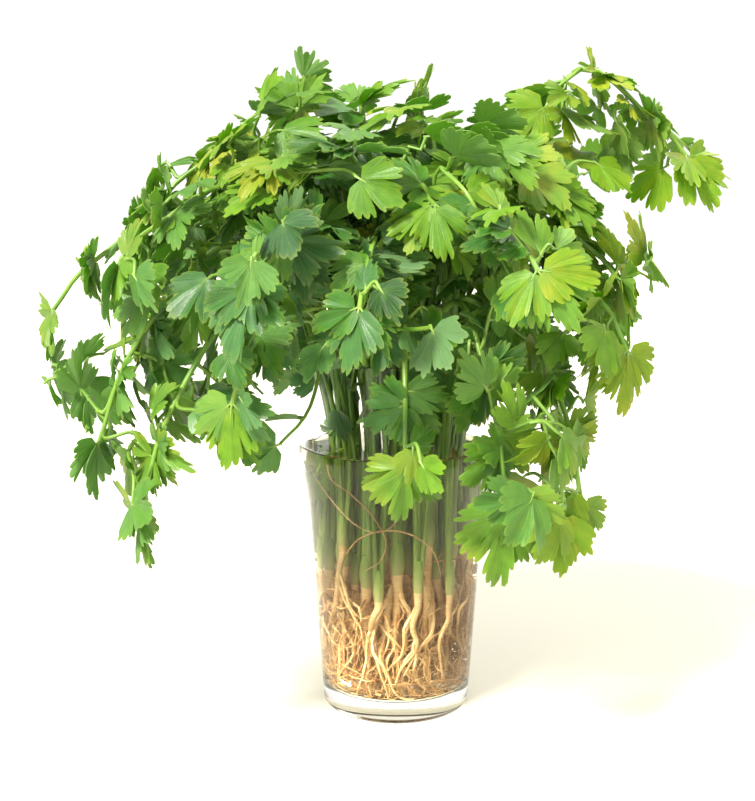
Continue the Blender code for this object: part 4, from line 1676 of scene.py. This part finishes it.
@dataclass
class Root:
    """A plant's tap root, with the rootlets of the solids and many finer ones."""

    name: str
    place: Vector
    crown: float
    tumbler: Tumbler
    seedlings: Sequence[Seedling]
    shapes: dict[str, bpy.types.Mesh]
    gap: float = 0.3
    radius: float = 2.3
    tip_radius: float = 0.6
    end: float = 15.5
    bends: int = 6
    waver: float = 0.9
    rootlets: int = 3
    rootlet_radius: float = 0.5
    rootlet_reach: float = 3.5
    rootlet_drop: float = 9.0
    rootlet_arch: float = 1.5
    golden_turn: float = 0.381966
    hairs: int = 26
    hair_length: tuple[float, float] = (12, 36)
    hair_width: tuple[float, float] = (0.16, 0.36)
    hair_steps: int = 9
    side_roots: int = 3
    side_length: tuple[float, float] = (28, 52)
    side_width: tuple[float, float] = (0.6, 1.25)
    fading: tuple[float, ...] = (0.9, 0.6, 0.5, 0.4, 0.3, 0.3)
    seedling_share: float = 0.75
    wall_gap: float = 1.0
    lines: list[list[Vector]] = field(default_factory=list)

    def draw(self, rng: random.Random) -> None:
        """Draws the lines of the tap root and of the solids' rootlets."""
        top = self.crown - self.gap
        points = []
        for k in range(self.bends):
            waver = Vector((rng.uniform(-1, 1), rng.uniform(-1, 1), 0)) * self.waver * min(1, k)
            points.append(self.place + waver + UP * (top + (self.end - top) * k / (self.bends - 1)))
        self.lines = [smooth_line(points, 8)]
        for k in range(self.rootlets):
            start = points[1 + k].lerp(points[2 + k], rng.uniform(0.3, 0.6))
            angle = 2 * math.pi * (k * self.golden_turn + rng.uniform(-0.05, 0.05))
            reach = self.place + Vector((math.cos(angle), math.sin(angle), 0)) * self.rootlet_reach
            end = Vector((reach.x, reach.y, start.z - self.rootlet_drop))
            self.lines.append(smooth_line([start, start.lerp(end, 0.55) + UP * self.rootlet_arch, end], 5))

    def hair(self, start: Vector, heading: Vector, length: float, rng: random.Random) -> list[Vector]:
        """Draws a fine rootlet that wanders down through the water.

        Args:
            start: Where it leaves.
            heading: The way that it sets out.
            length: How long it is.
            rng: The source of its bends.

        Returns:
            Points along it.
        """
        points = [start]
        for _ in range(self.hair_steps):
            heading = (heading + Vector([rng.gauss(0, 0.38) for _ in range(3)]) + DOWN * 0.3).normalized()
            point = points[-1] + heading * length / self.hair_steps
            limit = self.tumbler.inner_radius(point.z) - self.wall_gap
            if point.to_2d().length > limit:
                point.xy = point.to_2d().normalized() * limit
            point.z = max(point.z, self.tumbler.floor + self.wall_gap + rng.uniform(0, 1))
            points.append(point)
        return smooth_line(points, 3)

    def clothe(self, weave: Weave, tap: Sequence[Vector], count: int, rng: random.Random) -> None:
        """Adds side roots and fine rootlets to a tap root.

        Args:
            weave: The piece in the making.
            tap: Points down the tap root.
            count: How many fine rootlets it has.
            rng: The source of their shapes.
        """
        for _ in range(count):
            start = tap[rng.randrange(3, len(tap))]
            angle = rng.uniform(0, 2 * math.pi)
            heading = Vector((math.cos(angle), math.sin(angle), -0.2))
            line = self.hair(start, heading, rng.uniform(*self.hair_length), rng)
            width = rng.uniform(*self.hair_width)
            weave.strand("hair", line, (width * 1.3, width, width * 0.5), (rng.uniform(0.0, 0.5),))
        for _ in range(self.side_roots):
            start = tap[rng.randrange(2, len(tap) // 2)]
            angle = rng.uniform(0, 2 * math.pi)
            heading = Vector((math.cos(angle), math.sin(angle), -1.6))
            line = self.hair(start, heading, rng.uniform(*self.side_length), rng)
            width = rng.uniform(*self.side_width)
            weave.strand("rootlet", line, (width, width * 0.85, width * 0.3), (0.8, 0.4))

    def build(self, material: bpy.types.Material, rng: random.Random) -> None:
        """Makes the piece."""
        weave = Weave(self.shapes)
        tap, *rootlets = self.lines
        radii = [self.radius + (self.tip_radius - self.radius) * (k / 12) ** 0.8 for k in range(13)]
        radii = [radius * (1 + rng.gauss(0, 0.05)) for radius in radii]
        weave.strand("tap", tap, radii, self.fading)
        for line in rootlets:
            weave.strand("rootlet", line, (self.rootlet_radius, self.rootlet_radius * 0.55), (0.3, 0.5))
        self.clothe(weave, tap, self.hairs, rng)
        slight = [radius * self.seedling_share for radius in radii]
        for seedling in self.seedlings:
            start = seedling.place + UP * seedling.crown
            line = [start, *self.hair(start + DOWN * 3, DOWN, seedling.crown - self.end, rng)]
            weave.strand("tap", line, slight, self.fading)
            self.clothe(weave, line, self.hairs // 2, rng)
        settle("roots_" + self.name, weave.mesh, [material], "root_" + self.name, 60)


@dataclass
class LooseRoots:
    """Fine roots that have come loose: some curl along the wall near the surface, others mat on the floor.

    The curls are given by degrees round from +X, share of the inside radius, and height.
    """

    tumbler: Tumbler
    shapes: dict[str, bpy.types.Mesh]
    curls: tuple[tuple[tuple[float, float, float], ...], ...] = (
        ((195, 0.93, 117), (205, 0.96, 106), (222, 0.97, 95), (240, 0.97, 86), (256, 0.96, 83),
         (268, 0.95, 87), (272, 0.94, 95), (262, 0.93, 101)),
        ((214, 0.8, 110), (224, 0.92, 103), (238, 0.96, 99), (252, 0.96, 91), (262, 0.95, 80),
         (258, 0.93, 71), (246, 0.9, 66)),
        ((230, 0.9, 72), (244, 0.95, 80), (262, 0.96, 84), (280, 0.95, 82), (296, 0.93, 74),
         (304, 0.9, 64)))
    radius: float = 0.36
    mat_strands: int = 220
    mat_radius: float = 28
    mat_height: tuple[float, float] = (0.8, 9)
    mat_length: tuple[float, float] = (16, 44)
    mat_width: tuple[float, float] = (0.2, 0.42)
    mat_stray: tuple[float, float, float] = (0.6, 0.6, 0.2)
    bends: int = 8
    wall_gap: float = 1.2
    floor_gap: float = 0.9
    corner_top: float = 14

    def inside(self, point: Vector) -> Vector:
        """Brings a point inside the tumbler, and out of the rounded corner of its floor."""
        limit = self.tumbler.inner_radius(max(point.z, self.corner_top)) - self.wall_gap
        if point.z < self.corner_top:
            limit -= (self.corner_top - point.z) * 0.6
        if point.to_2d().length > limit:
            point.xy = point.to_2d().normalized() * limit
        point.z = max(point.z, self.tumbler.floor + self.floor_gap)
        return point

    def build(self, material: bpy.types.Material, rng: random.Random) -> None:
        """Makes the piece."""
        weave = Weave(self.shapes)
        for curl in self.curls:
            points = []
            for degrees, share, height in curl:
                reach = self.tumbler.inner_radius(height) * share
                angle = math.radians(degrees)
                points.append(Vector((reach * math.cos(angle), reach * math.sin(angle), height)))
            width = self.radius * rng.uniform(0.8, 1.1)
            weave.strand("stem", smooth_line(points, 8), (width, width, width * 0.6), (0.3, 0.6))
        for _ in range(self.mat_strands):
            angle = rng.uniform(0, 2 * math.pi)
            reach = self.mat_radius * math.sqrt(rng.random())
            height = self.tumbler.floor + rng.uniform(*self.mat_height)
            points = [self.inside(Vector((reach * math.cos(angle), reach * math.sin(angle), height)))]
            heading = Vector((rng.gauss(0, 1), rng.gauss(0, 1), 0)).normalized()
            length = rng.uniform(*self.mat_length)
            for _ in range(self.bends):
                turn = Vector([rng.gauss(0, stray) for stray in self.mat_stray])
                heading = (heading + turn).normalized()
                points.append(self.inside(points[-1] + heading * length / self.bends))
            width = rng.uniform(*self.mat_width)
            weave.strand("hair", smooth_line(points, 3), (width, width * 0.6), (rng.uniform(0.0, 0.5),))
        settle("rootlet_tangle", weave.mesh, [material], "", 60)


@dataclass
class Studio:
    """The pale floor, soft lamps and camera."""

    camera_place: tuple[float, float, float] = EYE
    pitch: float = PITCH
    lens: float = 53.93
    floor_radius: float = 12.0
    sky: Colour = (1.0, 0.98, 0.93)
    sky_strength: float = 1.1
    lamps: tuple[tuple[str, tuple[float, float, float], float, float, Colour], ...] = (
        ("key", (-0.55, -0.6, 0.9), 14.0, 6.8, (1.0, 0.97, 0.90)),
        ("back", (0.5, 0.6, 0.9), 25.0, 1.8, (1.0, 0.98, 0.92)))

    def build(self, floor_material: bpy.types.Material) -> None:
        """Sets the stage up."""
        mesh = bmesh.new()
        bmesh.ops.create_circle(mesh, cap_ends=True, segments=96, radius=self.floor_radius)
        data = bpy.data.meshes.new("floor")
        mesh.to_mesh(data)
        mesh.free()
        data.materials.append(floor_material)
        floor = bpy.data.objects.new("floor", data)
        bpy.context.scene.collection.objects.link(floor)
        for lamp in self.lamps:
            self.add_lamp(*lamp)
        bpy.context.scene.world = self.build_sky()
        bpy.context.scene.view_settings.view_transform = "Standard"
        camera = bpy.data.objects.new("camera", bpy.data.cameras.new("camera"))
        camera.data.lens = self.lens
        camera.location = Vector(self.camera_place) * MM
        camera.rotation_euler = (math.radians(90 - self.pitch), 0, 0)
        bpy.context.scene.collection.objects.link(camera)
        bpy.context.scene.camera = camera

    def build_sky(self) -> bpy.types.World:
        """Makes the even, pale light from all round."""
        world = bpy.data.worlds.new("sky")
        world.use_nodes = True
        background = world.node_tree.nodes["Background"]
        background.inputs["Color"].default_value = (*self.sky, 1)
        background.inputs["Strength"].default_value = self.sky_strength
        return world

    def add_lamp(self, name: str, place: tuple[float, float, float], softness: float, power: float,
                 colour: Colour) -> None:
        """Adds a far, soft lamp that shines on the bunch.

        Args:
            name: The lamp's name.
            place: The side that it shines from.
            softness: How wide it looks, in degrees.
            power: Its strength.
            colour: Its colour.
        """
        light = bpy.data.lights.new(name, "SUN")
        light.angle = math.radians(softness)
        light.energy = power
        light.color = colour
        lamp = bpy.data.objects.new(name, light)
        lamp.location = place
        lamp.rotation_euler = Vector(place).to_track_quat("Z", "Y").to_euler()
        bpy.context.scene.collection.objects.link(lamp)


def main() -> None:
    """Builds the stage and every piece."""
    logging.basicConfig(level=logging.INFO, format="%(message)s")
    tumbler = Tumbler()
    tumbler.build(ClearGlass().build())
    Water(tumbler).build(StandingWater().build())
    growth = Growth()
    growth.add_tumbler(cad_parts["glass"])
    growth.grow_stalks()
    placed = growth.grow_leaflets(growth.stalks, growth.rng, growth.leaflet_tries)
    LOG.info("%d stalks with %d leaflets", len(growth.stalks), placed)
    rng = random.Random(SEED + 1)
    shapes = plain_shapes(rng, BLADES)
    seedlings, branches = Thicket(growth).grow()
    roots = []
    for name, place in growth.places.items():
        near = [seedling for seedling in seedlings if seedling.plant == name]
        roots.append(Root(name, place, growth.crowns[name], tumbler, near, shapes))
        roots[-1].draw(growth.rng)
    green = [StalkSkin().build(), LeafBlade().build()]
    bark = RootBark().build()
    for root in roots:
        own = [stalk for stalk in growth.stalks if stalk.plant == root.name]
        added = [branch for branch in branches if branch.plant == root.name]
        plant = Plant(root.name, root.place, root.crown, own, added, root.seedlings, shapes, BLADES)
        plant.build(green, rng)
        root.build(bark, rng)
    LooseRoots(tumbler, shapes).build(bark, rng)
    for shape in shapes.values():
        bpy.data.meshes.remove(shape)
    Studio().build(PaleTop().build())


if __name__ == "__main__":
    main()
